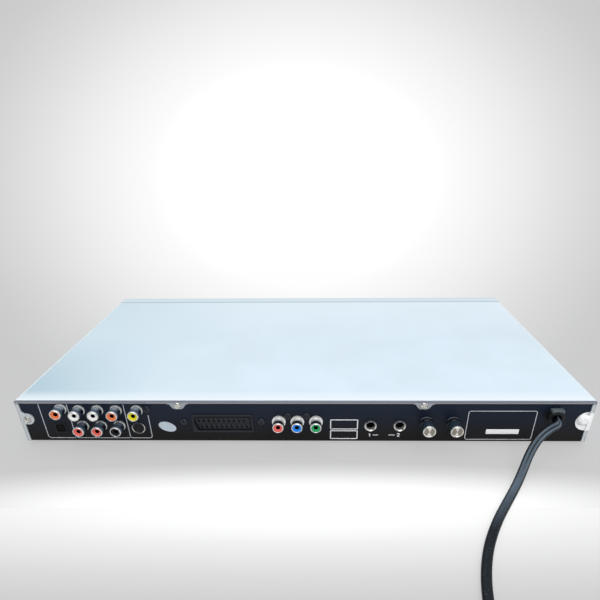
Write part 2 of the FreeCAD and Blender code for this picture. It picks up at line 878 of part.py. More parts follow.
def mic_sockets():
    """Quarter-inch jack bodies on the microphone board."""
    sockets = Piece("mic_sockets")
    for x, z in mics:
        sockets.pad("XZ", mic_back, panel_in, rectangle(x - 8.0, mic_top, x + 8.0, z + 8.0))
    sockets.cut("XZ", panel_in - s.mic_depth, panel_in, *circles(mics, s.mic_bore))


def mic_ferrules():
    """Bright threaded nuts that clamp the jacks to the panel."""
    ferrules = Piece("mic_ferrules")
    mouth = panel_out + s.ferrule_reach
    ferrules.pad("XZ", panel_in, panel_out, *circles(mics, s.ferrule_neck))
    ferrules.pad("XZ", panel_out, mouth, *circles(mics, s.ferrule_radius))
    ferrules.cut("XZ", panel_in, mouth, *circles(mics, s.mic_bore))
    ferrules.soften(
        "Chamfer",
        0.5,
        lambda edge: lies_at(edge, "y", mouth) and edge.Curve.Radius > float(s.mic_bore) + 0.1,
    )


def control_pots():
    """The two rotary controls behind the knobs, soldered to the microphone board."""
    pots = Piece("control_pots")
    for x, z in knobs:
        pots.pad("XZ", panel_in - 9.0, panel_in - 0.3, rectangle(x - 6.5, mic_top, x + 6.5, z + 6.5))
    pots.cut("XZ", panel_in - 7.0, panel_in - 0.3, *circles(knobs, s.knob_shaft + s.shaft_fit))


def knob(name, cap_name, place):
    """A black knob with its shaft, and the bright cap set in its end."""
    x, z = place
    end = rear + s.rear_reach
    turned = Piece(name)
    turned.pad("XZ", panel_in - 6.8, panel_out + 1.0, circle(x, z, s.knob_shaft))
    turned.pad("XZ", panel_out + 0.5, panel_out + 4.0, circle(x, z, s.knob_base_radius))
    turned.pad("XZ", panel_out + 4.0, end - s.knob_cap_height, circle(x, z, s.knob_radius))
    turned.soften(
        "Chamfer",
        (s.knob_base_radius - s.knob_radius) * 0.9,
        lambda edge: lies_at(edge, "y", panel_out + 4.0) and edge.Curve.Radius > float(s.knob_radius) + 0.1,
    )
    cap = Piece(cap_name)
    cap.pad("XZ", end - s.knob_cap_height, end, circle(x, z, s.knob_radius))
    cap.cut("XZ", end - 0.4, end, circle(x, z, s.knob_radius - 0.9))


def cord_bushing():
    """The clamp bushing that grips the mains cord in the panel."""
    grip = Piece("cord_bushing")
    grip.pad("XZ", panel_in - 6.0, panel_out, circle(*bushing, s.bushing_neck))
    grip.pad("XZ", panel_in - 4.0, panel_in, circle(*bushing, s.bushing_flange - 0.6))
    grip.pad("XZ", panel_out, rear + 1.4, circle(*bushing, s.bushing_flange))
    grip.pad("XZ", rear + 1.4, rear + s.bushing_reach, circle(*bushing, s.bushing_collar))
    grip.soften(
        "Chamfer",
        1.2,
        lambda edge: lies_at(edge, "y", rear + s.bushing_reach),
    )
    bore = s.cord_diameter / 2 + s.cord_gap
    grip.cut("XZ", rear + CORD_ROUTE[0][1], rear + s.bushing_reach, circle(*bushing, bore))


# The mains cord: a flat twin lead that stands here as a round tube of its full width
# Each point is (x, distance behind the rear plane, height of the centreline)
CORD_ROUTE = [
    (-186.5, 1.2, 28.0),
    (-186.5, 9.2, 28.0),
    (-177.0, 12.8, 25.8),
    (-168.0, 18.0, 21.2),
    (-160.6, 25.0, 13.6),
    (-154.0, 34.0, 7.0),
    (-146.2, 44.6, 3.6),
    (-135.2, 58.6, 3.0),
    (-121.8, 76.0, 3.3),
    (-109.4, 96.6, 3.0),
    (-101.2, 119.0, 3.2),
    (-97.4, 142.0, 3.0),
]
CORD_LENGTH = 1500.0
INNER_TURNS = 3.0
CLIMB_TURNS = 0.5
OUTER_TURNS = 2.75
END_STRAIGHT = 6.0


def coil_point(turn):
    """The coil's centreline: in on the bottom layer, up at the middle, out on the top layer."""
    pitch, radius = float(s.coil_pitch), float(s.cord_diameter) / 2
    inner = float(s.coil_outer) - pitch * INNER_TURNS
    low, high = radius, radius + pitch
    if turn <= INNER_TURNS:
        reach, height = float(s.coil_outer) - pitch * turn, low
    elif turn <= INNER_TURNS + CLIMB_TURNS:
        u = (turn - INNER_TURNS) / CLIMB_TURNS
        reach = inner - pitch * CLIMB_TURNS * u * (1 - u)
        height = low + (high - low) * u * u * (3 - 2 * u)
    else:
        reach, height = inner + pitch * (turn - INNER_TURNS - CLIMB_TURNS), high
    angle = math.pi - 2 * math.pi * turn
    middle = Vector(float(s.coil_x), float(rear + s.coil_behind), 0)
    return middle + Vector(reach * math.cos(angle), reach * math.sin(angle), height)


def coil_direction(turn):
    step = 1e-4
    last = INNER_TURNS + CLIMB_TURNS + OUTER_TURNS
    before, after = max(turn - step, 0.0), min(turn + step, last)
    return (coil_point(after) - coil_point(before)).normalize()


def biarc(start, start_way, end, end_way):
    """Two arcs with a common tangent from one point and direction to another."""
    span = end - start
    both = start_way + end_way
    a = 2 * (1 - start_way.dot(end_way))
    b = 2 * span.dot(both)
    reach = (math.sqrt(b * b + 4 * a * span.dot(span)) - b) / (2 * a)
    joint = (start + start_way * reach + end - end_way * reach) / 2
    return [tangent_arc(start, start_way, joint), tangent_arc(end, -end_way, joint)]


def tangent_arc(start, way, end):
    """The arc from start, leaving along way, to end."""
    chord = end - start
    across = (chord - way * chord.dot(way)).normalize()
    radius = chord.dot(chord) / (2 * chord.dot(across))
    centre = start + across * radius
    middle = centre + ((start - centre) + (end - centre)).normalize() * radius
    return Part.Arc(start, middle, end)


def tube(wire, start, way, radius):
    """A round tube along a wire, and a note of how true its volume is."""
    ring = Part.Wire([Part.Circle(start, way, radius).toShape()])
    shell = wire.makePipeShell([ring], True, False)
    expected = math.pi * radius**2 * wire.Length
    print(f"tube of {wire.Length:.1f} mm, volume {shell.Volume / expected:.4f} of section times length")
    return shell


def bent_wire(points):
    """Straight runs joined by tangent arcs; each arc is as large as its two runs allow."""
    edges, at, radii = [], points[0], []
    for before, corner, after in zip(points, points[1:], points[2:]):
        arrive, leave = (corner - before), (after - corner)
        run = min(arrive.Length, leave.Length)
        arrive.normalize()
        leave.normalize()
        half_turn = arrive.getAngle(leave) / 2
        radius = 0.45 * run / math.tan(half_turn)
        radii.append(radius)
        into, out = corner - arrive * 0.45 * run, corner + leave * 0.45 * run
        edges.append(Part.LineSegment(at, into).toShape())
        edges.append(tangent_arc(into, arrive, out).toShape())
        at = out
    edges.append(Part.LineSegment(at, points[-1]).toShape())
    print("cord radii", " ".join(f"{r:.0f}" for r in radii))
    return Part.Wire(edges)


def coil_ends():
    """The coil's first and last point and direction, past its straight ends."""
    last = INNER_TURNS + CLIMB_TURNS + OUTER_TURNS
    first_way, last_way = coil_direction(0.0), coil_direction(last)
    return (
        coil_point(0.0) - first_way * END_STRAIGHT,
        first_way,
        coil_point(last) + last_way * END_STRAIGHT,
        last_way,
    )


def tail_route():
    """From the coil's end down to the plug, which lies on the floor."""
    start, way = coil_ends()[2:]
    lie = float(s.plug_thickness) / 2
    first = start + way * 16.0
    second = Vector(first.x + 18.0, first.y - 0.6, lie)
    return [start, first, second, Vector(second.x + 15.0, second.y - 2.4, lie)]


def mains_cord():
    radius = float(s.cord_diameter) / 2
    start, way = coil_ends()[:2]
    points = [Vector(x, float(rear) + behind, z) for x, behind, z in CORD_ROUTE]
    points += [start - way * 21.0, start]
    wire = bent_wire(points)
    shaped("mains_cord", tube(wire, points[0], points[1] - points[0], radius))
    tail = bent_wire(tail_route())
    tail_points = tail_route()
    shaped("mains_cord_tail", tube(tail, tail_points[0], tail_points[1] - tail_points[0], radius))
    return wire.Length + tail.Length


def mains_cord_coil():
    radius = float(s.cord_diameter) / 2
    last = INNER_TURNS + CLIMB_TURNS + OUTER_TURNS
    start, way, end, end_way = coil_ends()
    edges = [Part.LineSegment(start, coil_point(0.0)).toShape()]
    quarter = 0.25
    for k in range(round(last / quarter)):
        here, there = k * quarter, (k + 1) * quarter
        pair = biarc(coil_point(here), coil_direction(here), coil_point(there), coil_direction(there))
        edges += [pair[0].toShape(), pair[1].toShape().reversed()]
    edges.append(Part.LineSegment(coil_point(last), end).toShape())
    wire = Part.Wire(edges)
    shaped("mains_cord_coil", tube(wire, start, way, radius))
    steps = 72
    track = [coil_point(last * i / (steps * 6)) for i in range(steps * 6 + 1)]
    apart = steps // 2
    gap = min(
        (a - b).Length for i, a in enumerate(track) for b in track[i + apart :]
    ) - 2 * radius
    print(f"coil gap to itself {gap:.2f} mm")
    return wire.Length


def plug():
    """A flat two-pin plug lying on the floor at the end of the cord."""
    at = tail_route()[-1]
    ahead = at - tail_route()[-2]
    turn = Rotation(Vector(0, 0, 1), math.degrees(math.atan2(ahead.y, ahead.x)))
    body = Piece("plug_body")
    half, flat = s.plug_width / 2, s.plug_thickness / 2
    neck = s.cord_diameter / 2 + 1.3
    sleeve = 9.0
    body.pad("YZ", 0.0, sleeve, circle(0.0, 0.0, neck))
    body.pad(
        "XY",
        -flat,
        flat,
        outline(
            (sleeve - 1.0, -neck - 1.0),
            (sleeve + 6.0, -neck - 1.6),
            (s.plug_length - 14.0, -half),
            (s.plug_length, -half),
            (s.plug_length, half),
            (s.plug_length - 14.0, half),
            (sleeve + 6.0, neck + 1.6),
            (sleeve - 1.0, neck + 1.0),
        ),
    )
    body.soften("Fillet", 1.6, lambda edge: lies_at(edge, "z", flat) or lies_at(edge, "z", -flat))
    pins = Piece("plug_pins")
    pair = [(-s.plug_pin_spacing / 2, 0.0), (s.plug_pin_spacing / 2, 0.0)]
    pins.pad("YZ", s.plug_length, s.plug_length + s.plug_pin_length, *circles(pair, s.plug_pin_radius))
    pins.soften(
        "Fillet",
        s.plug_pin_radius * 0.7,
        lambda edge: lies_at(edge, "x", s.plug_length + s.plug_pin_length),
    )
    for item in (body.body, pins.body):
        item.Placement = FreeCAD.Placement(at, turn)


def circuit_boards():
    """The audio and video board, the power board and the microphone board, with their parts."""
    main = Piece("main_board")
    behind_loader = loader_rear + 6.0
    main.pad(
        "XY",
        main_low,
        main_top,
        outline(
            (main_board_right, -60.0),
            (main_board_right, board_rear),
            (-14.0, board_rear),
            (-14.0, behind_loader),
            (main_board_left, behind_loader),
            (main_board_left, -60.0),
        ),
    )
    chips = Piece("board_chips")
    x = main_board_left + 32.0
    for left, low, width, depth, height in (
        (0.0, -10.0, 28.0, 28.0, 1.6),
        (40.0, -8.0, 18.0, 10.0, 1.2),
        (40.0, 12.0, 18.0, 10.0, 1.2),
        (2.0, 32.0, 10.0, 10.0, 1.4),
        (-18.0, -54.0, 36.0, 8.0, 7.0),
    ):
        outer = rectangle(x + left, low, x + left + width, low + depth)
        chips.pad("XY", main_top, main_top + height, outer)
    power = Piece("power_board")
    power_low = bottom + s.power_board_up
    power.pad("XY", power_low, power_top, rectangle(power_board_left, -60.0, power_board_right, 62.0))
    transformer = Piece("power_transformer")
    left, low = power_board_right - 72.0, -4.0
    core = rectangle(left, low, left + 28.0, low + 28.0)
    transformer.pad("XY", power_top, power_top + 4.0, core)
    transformer.pad(
        "XY", power_top + 4.0, power_top + 14.0, rectangle(left + 4.0, low + 5.0, left + 24.0, low + 23.0)
    )
    transformer.pad("XY", power_top + 14.0, power_top + 18.0, core)
    cans = Piece("power_capacitors")
    cans.pad("XY", power_top, power_top + 20.0, circle(power_board_left + 26.0, -20.0, 9.0))
    small = [(power_board_right - x, y) for x in (24.0, 12.0) for y in (10.0, 24.0)]
    cans.pad("XY", power_top, power_top + 12.5, *circles(small, 5.0))
    mic = Piece("mic_board")
    area = rectangle(mic_board_left, mic_board_front, mic_board_right, board_rear)
    mic.pad("XY", bottom + s.mic_board_up, mic_top, area)


def front_board():
    """The two key boards behind the bezel, with their switches and the display tube."""
    board = Piece("front_board")
    back = front + 12.0
    low, high = bottom + 4.5, top - 4.5
    board.pad("XZ", back, back + s.board, rectangle(window_x - 52.0, low, side - 9.0, high))
    right = -s.fascia_width / 2 - 12.9
    board.pad("XZ", back, back + s.board, rectangle(11.0 - side, low + 2.0, right, high))
    for x, z in front_buttons().values():
        board.pad("XZ", back - 1.8, back, rectangle(x - 3.0, z - 3.0, x + 3.0, z + 3.0))
    wide = s.window_width / 2 - 3.0
    z = bottom + s.window_up
    board.pad("XZ", front + 4.0, back, rectangle(window_x - wide, z - 6.0, window_x + wide, z + 6.0))


def front_button_caps():
    for name, (x, z) in front_buttons().items():
        cap = Piece(name)
        shoulder = front + s.bezel_face + 0.3
        cap.pad("XZ", front - s.front_reach, shoulder + 0.2, button_box(x, 0.0, z))
        cap.soften("Chamfer", 0.5, lambda edge: lies_at(edge, "y", front - s.front_reach))
        cap.pad("XZ", shoulder, shoulder + 1.2, button_box(x, 1.4, z))
        cap.pad("XZ", shoulder + 1.2, front + 10.2 - s.button_travel - 0.4, circle(x, z, 1.8))


def tray_fascia():
    fascia = Piece("tray_fascia")
    half = s.fascia_width / 2
    low = bottom + s.fascia_up
    fascia.pad("XZ", front, tray_front, rectangle(-half, low, half, low + s.fascia_height))
    fascia.soften("Fillet", 0.6, lambda edge: lies_at(edge, "y", front))


def gear_outline(teeth, radius_gap, middle, phase):
    """A spur gear's outline with straight flanks, thinned by the backlash."""
    module = float(s.gear_module)
    pitch_radius = module * teeth / 2
    backlash = float(s.tooth_backlash)
    tip, root = pitch_radius + module - radius_gap, pitch_radius - 1.25 * module
    points = []
    for k in range(teeth):
        centre = phase + 2 * math.pi * k / teeth
        flanks = [(root, 0.80), (pitch_radius, 0.50), (tip, 0.26)]
        sides = [(r, (math.pi * module * share - backlash) / 2 / pitch_radius) for r, share in flanks]
        for r, half in sides:
            points.append((r, centre - half))
        for r, half in reversed(sides):
            points.append((r, centre + half))
    return [Vector(middle[0] + r * math.cos(a), middle[1] + r * math.sin(a), 0) for r, a in points]


def gear(teeth, middle, low, high, phase):
    """A spur gear between two heights."""
    corners = gear_outline(teeth, 0.1, (float(middle[0]), float(middle[1])), phase)
    face = Part.Face(Part.makePolygon([*corners, corners[0]]))
    face.translate(Vector(0, 0, float(low)))
    return face.extrude(Vector(0, 0, float(high - low)))


def disc(middle, radius, low, high):
    return Part.makeCylinder(
        float(radius), float(high - low), Vector(float(middle[0]), float(middle[1]), float(low))
    )


# The gear train: rack gear on the tray's left, its big wheel, the pulley's pinion, the motor
rack_gear_radius = s.gear_module * s.rack_gear_teeth / 2
big_gear_radius = s.gear_module * s.big_gear_teeth / 2
pinion_radius = s.gear_module * s.pinion_teeth / 2
tray_gear_place = (rack_gear_radius - rack_line_x, gear_y)
pulley_place = (tray_gear_place[0] + big_gear_radius + pinion_radius, gear_y)
motor_place = (s.motor_x, gear_y)
plate_top = s.loader_plate_low + s.loader_plate
train_low = plate_top + 1.0
train_high = train_low + 2.6
pulley_low = train_high + 1.4
pulley_high = pulley_low + 3.0
rack_low = s.tray_low - 3.3
axle_radius = 1.5


def tray_gear():
    """The compound wheel: its big gear takes the pinion, its small gear drives the tray's rack."""
    teeth = int(SIZES["big_gear_teeth"])
    small = int(SIZES["rack_gear_teeth"])
    body = gear(teeth, tray_gear_place, train_low, train_high, 0.0)
    body = body.fuse(disc(tray_gear_place, 8.0, train_high, rack_low - 0.2))
    body = body.fuse(gear(small, tray_gear_place, rack_low - 0.2, s.tray_low - 0.5, math.pi))
    shaped("tray_gear", body.cut(disc(tray_gear_place, axle_radius + 0.05, train_low, s.tray_low)))


def belt_pulley():
    """The grooved pulley with the pinion moulded under it, meshed tooth in gap with the big gear."""
    teeth = int(SIZES["pinion_teeth"])
    phase = math.pi + math.pi / teeth
    body = gear(teeth, pulley_place, train_low, train_high, phase)
    body = body.fuse(disc(pulley_place, 4.4, train_high, pulley_low))
    body = body.fuse(grooved(pulley_place, s.pulley_radius))
    shaped("belt_pulley", body.cut(disc(pulley_place, axle_radius + 0.05, train_low, pulley_high)))


def grooved(middle, radius):
    """A pulley rim with a square groove for the belt."""
    rim = disc(middle, radius, pulley_low, pulley_high)
    groove = disc(middle, radius + 1.0, pulley_low + 0.6, pulley_high - 0.6)
    groove = groove.cut(disc(middle, radius - s.belt, pulley_low, pulley_high))
    return rim.cut(groove)


def motor_pulley():
    body = grooved(motor_place, s.motor_pulley_radius)
    shaped("motor_pulley", body.cut(disc(motor_place, 0.8 + 0.05, pulley_low, pulley_high)))


def drive_belt():
    """A square belt round the two pulleys, standing clear of their grooves by a hair."""
    gap = 0.15
    thick = float(s.belt) * 0.7
    big, small = float(s.pulley_radius - s.belt) + gap, float(s.motor_pulley_radius - s.belt) + gap
    low = float(pulley_low) + 0.8
    high = float(pulley_high) - 0.8
    outer = belt_loop(big + thick, small + thick, low)
    inner = belt_loop(big, small, low)
    solid = Part.Face(outer).extrude(Vector(0, 0, high - low))
    shaped("drive_belt", solid.cut(Part.Face(inner).extrude(Vector(0, 0, high - low))))


def belt_loop(big, small, z):
    """Two arcs and their outer tangents round the pulleys."""
    a = Vector(float(pulley_place[0]), float(pulley_place[1]), z)
    b = Vector(float(motor_place[0]), float(motor_place[1]), z)
    lean = math.acos((big - small) / (b - a).Length)

    def at(middle, radius, angle):
        return middle + Vector(radius * math.cos(angle), radius * math.sin(angle), 0)

    edges = [
        Part.Arc(at(a, big, lean), at(a, big, math.pi), at(a, big, -lean)),
        Part.LineSegment(at(a, big, -lean), at(b, small, -lean)),
        Part.Arc(at(b, small, -lean), at(b, small, 0.0), at(b, small, lean)),
        Part.LineSegment(at(b, small, lean), at(a, big, lean)),
    ]
    return Part.Wire([edge.toShape() for edge in edges])


def loading_motor():
    """The tray motor in its can, standing through the loader's plate on the pan."""
    x, y = motor_place
    body = disc((x, y), 12.0, pan_top, pulley_low - 1.2)
    body = body.fuse(disc((x, y), 3.0, pulley_low - 1.2, pulley_low - 0.6))
    shaped("loading_motor", body.fuse(disc((x, y), 0.8, pulley_low - 0.6, pulley_high)))


def rack():
    """The straight rack under the tray's left edge, in mesh with the rack gear at rest."""
    module = float(s.gear_module)
    backlash = float(s.tooth_backlash)
    line = -float(rack_line_x)
    first = float(gear_y) - 2.5 * math.pi * module
    teeth = int((float(tray_rear) - first) / (math.pi * module)) - 1
    points = [Vector(line - 4.0, first, 0), Vector(line - 1.25 * module, first, 0)]
    for k in range(teeth):
        middle = first + math.pi * module * (k + 1.0)
        root = (math.pi * module * 0.5 - backlash) / 2 + 1.25 * module * math.tan(math.radians(20))
        tip = (math.pi * module * 0.5 - backlash) / 2 - 0.9 * module * math.tan(math.radians(20))
        points.append(Vector(line - 1.25 * module, middle - root, 0))
        points.append(Vector(line + 0.9 * module, middle - tip, 0))
        points.append(Vector(line + 0.9 * module, middle + tip, 0))
        points.append(Vector(line - 1.25 * module, middle + root, 0))
    end = first + math.pi * module * (teeth + 1.0)
    points += [Vector(line - 1.25 * module, end, 0), Vector(line - 4.0, end, 0)]
    face = Part.Face(Part.makePolygon([*points, points[0]]))
    face.translate(Vector(0, 0, float(rack_low)))
    return face.extrude(Vector(0, 0, float(s.tray_low - rack_low)))


def disc_tray():
    """The sliding tray: disc recesses, the slot for spindle and pickup, side runners and rack."""
    tray = Piece("disc_tray")
    parts.pop()
    half = tray_half
    high = s.tray_low + s.tray_height
    wide = half + s.tray_lip
    lip_low = s.tray_low + 0.5
    tray.pad("XY", s.tray_low, high, rectangle(-half, tray_front, half, tray_rear))
    tray.pad(
        "XY", lip_low, lip_low + s.tray_lip_height, rectangle(-wide, tray_front + 16.0, wide, tray_rear)
    )
    centre = (0.0, spindle_y)
    floor = high - s.recess_depth
    tray.cut("XY", floor, high, circle(*centre, s.disc_recess_radius))
    tray.cut("XY", floor - s.recess_depth, floor, circle(*centre, s.small_recess_radius))
    slot = s.tray_slot_half
    tray.cut(
        "XY",
        s.tray_low,
        high,
        outline(
            (slot, tray_rear),
            (-slot, tray_rear),
            (-slot, spindle_y, slot),
            (0.0, spindle_y - slot, slot),
            (slot, spindle_y),
        ),
    )
    tray.cut(
        "XY",
        s.tray_low,
        s.tray_low + 2.0,
        rectangle(-half + 16.0, tray_front + 22.0, -slot - 3.0, tray_rear - 8.0),
        rectangle(slot + 3.0, tray_front + 22.0, half - 3.0, tray_rear - 8.0),
    )
    doc.recompute()
    body = shaped("disc_tray", tray.body.Shape.fuse(rack()))
    tray.body.Label = "tray_moulding"
    body.Label = "disc_tray"


def loader_frame():
    """The moulded frame: base plate, side walls with the tray's runners, hinge ears and axles."""
    frame = Piece("loader_frame")
    half = s.loader_width / 2
    wall = s.loader_wall
    low = s.loader_plate_low
    frame.pad("XY", low, plate_top, rectangle(-half, loader_front, half, loader_rear))
    opening = s.deck_half_width + 5.0
    deck_edge = spindle_y - s.deck_front
    frame.cut("XY", low, plate_top, rectangle(-opening, deck_edge - 1.0, opening, loader_rear - 6.0))
    for sign in (1, -1):
        inner, outer = (half - wall) * sign, half * sign
        left, right = (inner, outer) if sign > 0 else (outer, inner)
        frame.pad("XY", plate_top - 0.5, s.loader_top, rectangle(left, loader_front, right, loader_rear))
        ledge = (half - wall - 5.0) * sign
        left, right = (ledge, inner) if sign > 0 else (inner, ledge)
        lip_low = s.tray_low + 0.5
        frame.pad(
            "XY", lip_low - 2.3, lip_low - 0.3, rectangle(left, loader_front, right + 0.0, loader_rear)
        )
        over = lip_low + s.tray_lip_height + 0.3
        for y in (loader_front + 6.0, spindle_y + 34.0):
            frame.pad("XY", over, over + 2.0, rectangle(left + 0.0, y, right, y + 14.0))
        pin_in = s.deck_half_width + 0.6
        ear_left, ear_right = (pin_in, pin_in + 4.0) if sign > 0 else (-pin_in - 4.0, -pin_in)
        frame.pad(
            "YZ",
            ear_left,
            ear_right,
            rectangle(hinge_y - 4.0, low, hinge_y + 4.0, s.hinge_height + 3.5),
        )
        frame.cut("YZ", ear_left, ear_right, circle(hinge_y, s.hinge_height, s.hinge_pin + s.shaft_fit))
        foot_x = (half - 6.0) * sign
        rear_foot = loader_rear - 8.0
        frame.pad("XY", pan_top, low, *circles([(foot_x, loader_front + 8.0), (foot_x, rear_foot)], 4.0))
    frame.cut("XY", low, plate_top, circle(*motor_place, 12.3))
    frame.pad("XY", low, s.tray_low - 0.5, circle(*tray_gear_place, axle_radius))
    frame.pad("XY", low, pulley_high, circle(*pulley_place, axle_radius))
    frame.pad("XY", plate_top - 0.5, train_low - 0.3, circle(*tray_gear_place, 4.0))
    frame.pad("XY", plate_top - 0.5, train_low - 0.3, circle(*pulley_place, 4.0))


def clamp_bridge():
    """The pressed bridge over the tray that carries the clamper."""
    bridge = Piece("clamp_bridge")
    half = s.loader_width / 2
    low = s.loader_top
    high = low + s.bridge_sheet
    reach = 22.0
    bridge.pad("XY", low, high, rectangle(-half, spindle_y - reach, half, spindle_y + reach))
    bridge.cut("XY", low, high, circle(0.0, spindle_y, 10.4))


def clamper():
    """The magnetic puck that floats in the bridge above the turntable."""
    puck = Piece("clamper")
    low = s.loader_top - 0.3
    high = s.loader_top + s.bridge_sheet + 0.3
    centre = (0.0, spindle_y)
    puck.pad("XY", low - 1.8, low, circle(*centre, s.clamper_radius))
    puck.pad("XY", low - 0.2, high + 0.2, circle(*centre, 10.0))
    puck.pad("XY", high, high + 1.4, circle(*centre, s.clamper_radius - 1.0))


def traverse_deck():
    """The tilting deck that carries spindle, rods and pickup, with its hinge pins and cam pin."""
    deck = Piece("traverse_deck")
    half = s.deck_half_width
    low, high = s.deck_low, s.deck_low + s.deck_plate
    deck_edge = spindle_y - s.deck_front
    deck.pad("XY", low, high, rectangle(-half, deck_edge, half, hinge_y + 3.0))
    deck.cut(
        "XY",
        low,
        high,
        rectangle(-half + 5.0, spindle_y + 12.0, half - 5.0, hinge_y - 8.0),
    )
    for sign in (1, -1):
        x = s.rod_x * sign
        for y in (spindle_y + 7.0, hinge_y - 8.0):
            deck.pad("XY", high - 0.2, s.rod_height + 2.4, rectangle(x - 3.0, y, x + 3.0, y + 5.0))
            deck.cut("XZ", y, y + 5.0, circle(x, s.rod_height, s.rod_radius))
        near, far = half * sign - 0.2 * sign, (half + 4.4) * sign
        left, right = (near, far) if sign > 0 else (far, near)
        deck.pad(
            "YZ",
            left - 6.0 if sign > 0 else left,
            right if sign > 0 else right + 6.0,
            circle(hinge_y, s.hinge_height, s.hinge_pin),
        )
        block = half * sign
        left, right = (block - 7.5, block) if sign > 0 else (block, block + 7.5)
        deck.pad(
            "YZ",
            left,
            right,
            rectangle(hinge_y - 3.0, high - 0.2, hinge_y + 3.0, s.hinge_height + 2.5),
        )
    bearing = s.feed_screw_x
    deck.pad(
        "XY",
        high - 0.2,
        screw_z + 2.6,
        rectangle(bearing - 2.6, spindle_y + 7.0, bearing + 2.6, spindle_y + 12.0),
    )
    deck.cut(
        "XZ",
        spindle_y + 8.7,
        spindle_y + 12.0,
        circle(bearing, screw_z, s.feed_screw_radius + s.shaft_fit),
    )
    deck.pad("XZ", deck_edge - 3.6, deck_edge + 1.0, circle(*cam_pin, 1.0))


deck_top = s.deck_low + s.deck_plate
screw_z = deck_top + s.feed_motor_radius
feed_motor_y = hinge_y - 18.0
cam_pin = (8.0, s.deck_low + s.deck_plate / 2 + 0.4)
TILT_DEGREES = 2.0
CAM_TRAVEL = 16.0


def cam_slider():
    """The sliding cam whose slanted slot lifts the deck by its pin."""
    plate = Piece("cam_slider")
    deck_edge = float(spindle_y - s.deck_front)
    arm = float(hinge_y) - (deck_edge - 2.6)
    drop = arm * math.sin(math.radians(TILT_DEGREES))
    x, z = float(cam_pin[0]), float(cam_pin[1])
    gap = 1.3
    low = float(plate_top) + 0.3
    near, far = deck_edge - 3.4, deck_edge - 1.6
    plate.pad("XZ", near, far, rectangle(x - CAM_TRAVEL - 8.0, low, x + 8.0, z + 4.0))
    slope = drop / CAM_TRAVEL
    run = CAM_TRAVEL + 1.4
    plate.cut(
        "XZ",
        near,
        far,
        outline(
            (x + 1.4, z - gap + 1.4 * slope),
            (x + 1.4, z + gap + 1.4 * slope),
            (x - run, z + gap - run * slope),
            (x - run, z - gap - run * slope),
        ),
    )


def guide_rods():
    rods = Piece("guide_rods")
    places = [(s.rod_x, s.rod_height), (-s.rod_x, s.rod_height)]
    rods.pad("XZ", spindle_y + 7.0, hinge_y - 3.0, *circles(places, s.rod_radius))


def pickup_sled():
    """The laser pickup: a carriage on two rods with the lens block on top."""
    sled = Piece("pickup_sled")
    lens_y = spindle_y + 23.0
    low = s.deck_low + 2.0
    base_top = s.tray_low - 0.7
    near, far = lens_y - 10.0, lens_y + 20.0
    x = s.rod_x
    sled.pad("XY", low, base_top, rectangle(-x - 3.4, near, x + 3.4, far))
    sled.cut("XZ", near, far, circle(x, s.rod_height, s.rod_radius + s.shaft_fit))
    z = s.rod_height
    fork = s.rod_radius + 0.3
    sled.cut("XZ", near, far, rectangle(-x - 3.5, z - fork, -x + 2.4, z + fork))
    arm_x = s.feed_screw_x
    arm_low, arm_high = screw_z - s.feed_screw_radius - 1.2, screw_z + s.feed_screw_radius + 1.2
    sled.pad("XZ", lens_y, lens_y + 8.0, rectangle(x + 2.8, arm_low, arm_x + 2.9, arm_high))
    sled.cut("XZ", lens_y, lens_y + 8.0, circle(arm_x, screw_z, s.feed_screw_radius + 0.3))
    sled.pad("XY", base_top - 0.5, s.tray_low + 4.6, rectangle(-15.0, lens_y - 8.0, 15.0, lens_y + 13.0))
    sled.pad("XY", s.tray_low + 4.0, s.tray_low + 5.4, circle(0.0, lens_y, 2.4))


def spindle_parts():
    """The spindle motor under its turntable, and the feed motor with the screw it turns."""
    motors = Piece("traverse_motors")
    motors.pad("XY", deck_top, s.tray_low - 0.8, circle(0.0, spindle_y, 11.5))
    motors.pad("XZ", feed_motor_y, feed_motor_y + 9.6, circle(s.feed_screw_x, screw_z, s.feed_motor_radius))
    screw = Piece("feed_screw")
    radius = s.feed_screw_radius
    screw.pad("XZ", spindle_y + 9.0, feed_motor_y - 0.3, circle(s.feed_screw_x, screw_z, radius))
    table = Piece("turntable")
    low = s.tray_low - 0.5
    table.pad("XY", low, low + 5.2, circle(0.0, spindle_y, 5.0))
    table.pad("XY", low + 5.0, low + 7.7, circle(0.0, spindle_y, s.turntable_radius))
    table.pad("XY", low + 7.5, low + 9.4, circle(0.0, spindle_y, 7.4))
    table.soften(
        "Chamfer",
        1.2,
        lambda edge: lies_at(edge, "z", low + 9.4),
    )


chassis_pan()
rear_panel()
top_cover()
front_bezel()
display_window()
rubber_feet()
screws("cover_screws", cover_screw_places, rear)
screws("jack_screws", jack_screw_places, panel_out)
phono_shell_group("phono_shells", phonos, s.phono_flange)
phono_shell_group("component_shells", components, s.component_flange)
phono_inserts("white_inserts", upper_row[:2])
phono_inserts("orange_inserts", [coax, upper_row[2]])
phono_inserts("red_inserts", [*lower_row[:2], components[0]])
phono_inserts("yellow_insert", [video])
phono_inserts("blue_insert", [components[1]])
phono_inserts("green_insert", [components[2]])
jack_blocks()
svideo_ring()
scart_socket()
mic_sockets()
mic_ferrules()
control_pots()
knob("mic_volume_knob", "mic_volume_cap", knobs[0])
knob("echo_knob", "echo_cap", knobs[1])
cord_bushing()
total = mains_cord() + mains_cord_coil()
print(f"cord {total:.0f} mm of {CORD_LENGTH:.0f}")
plug()
circuit_boards()
front_board()
front_button_caps()
tray_fascia()
disc_tray()
loader_frame()
clamp_bridge()
clamper()
traverse_deck()
cam_slider()
guide_rods()
pickup_sled()
spindle_parts()
tray_gear()
belt_pulley()
motor_pulley()
drive_belt()
loading_motor()

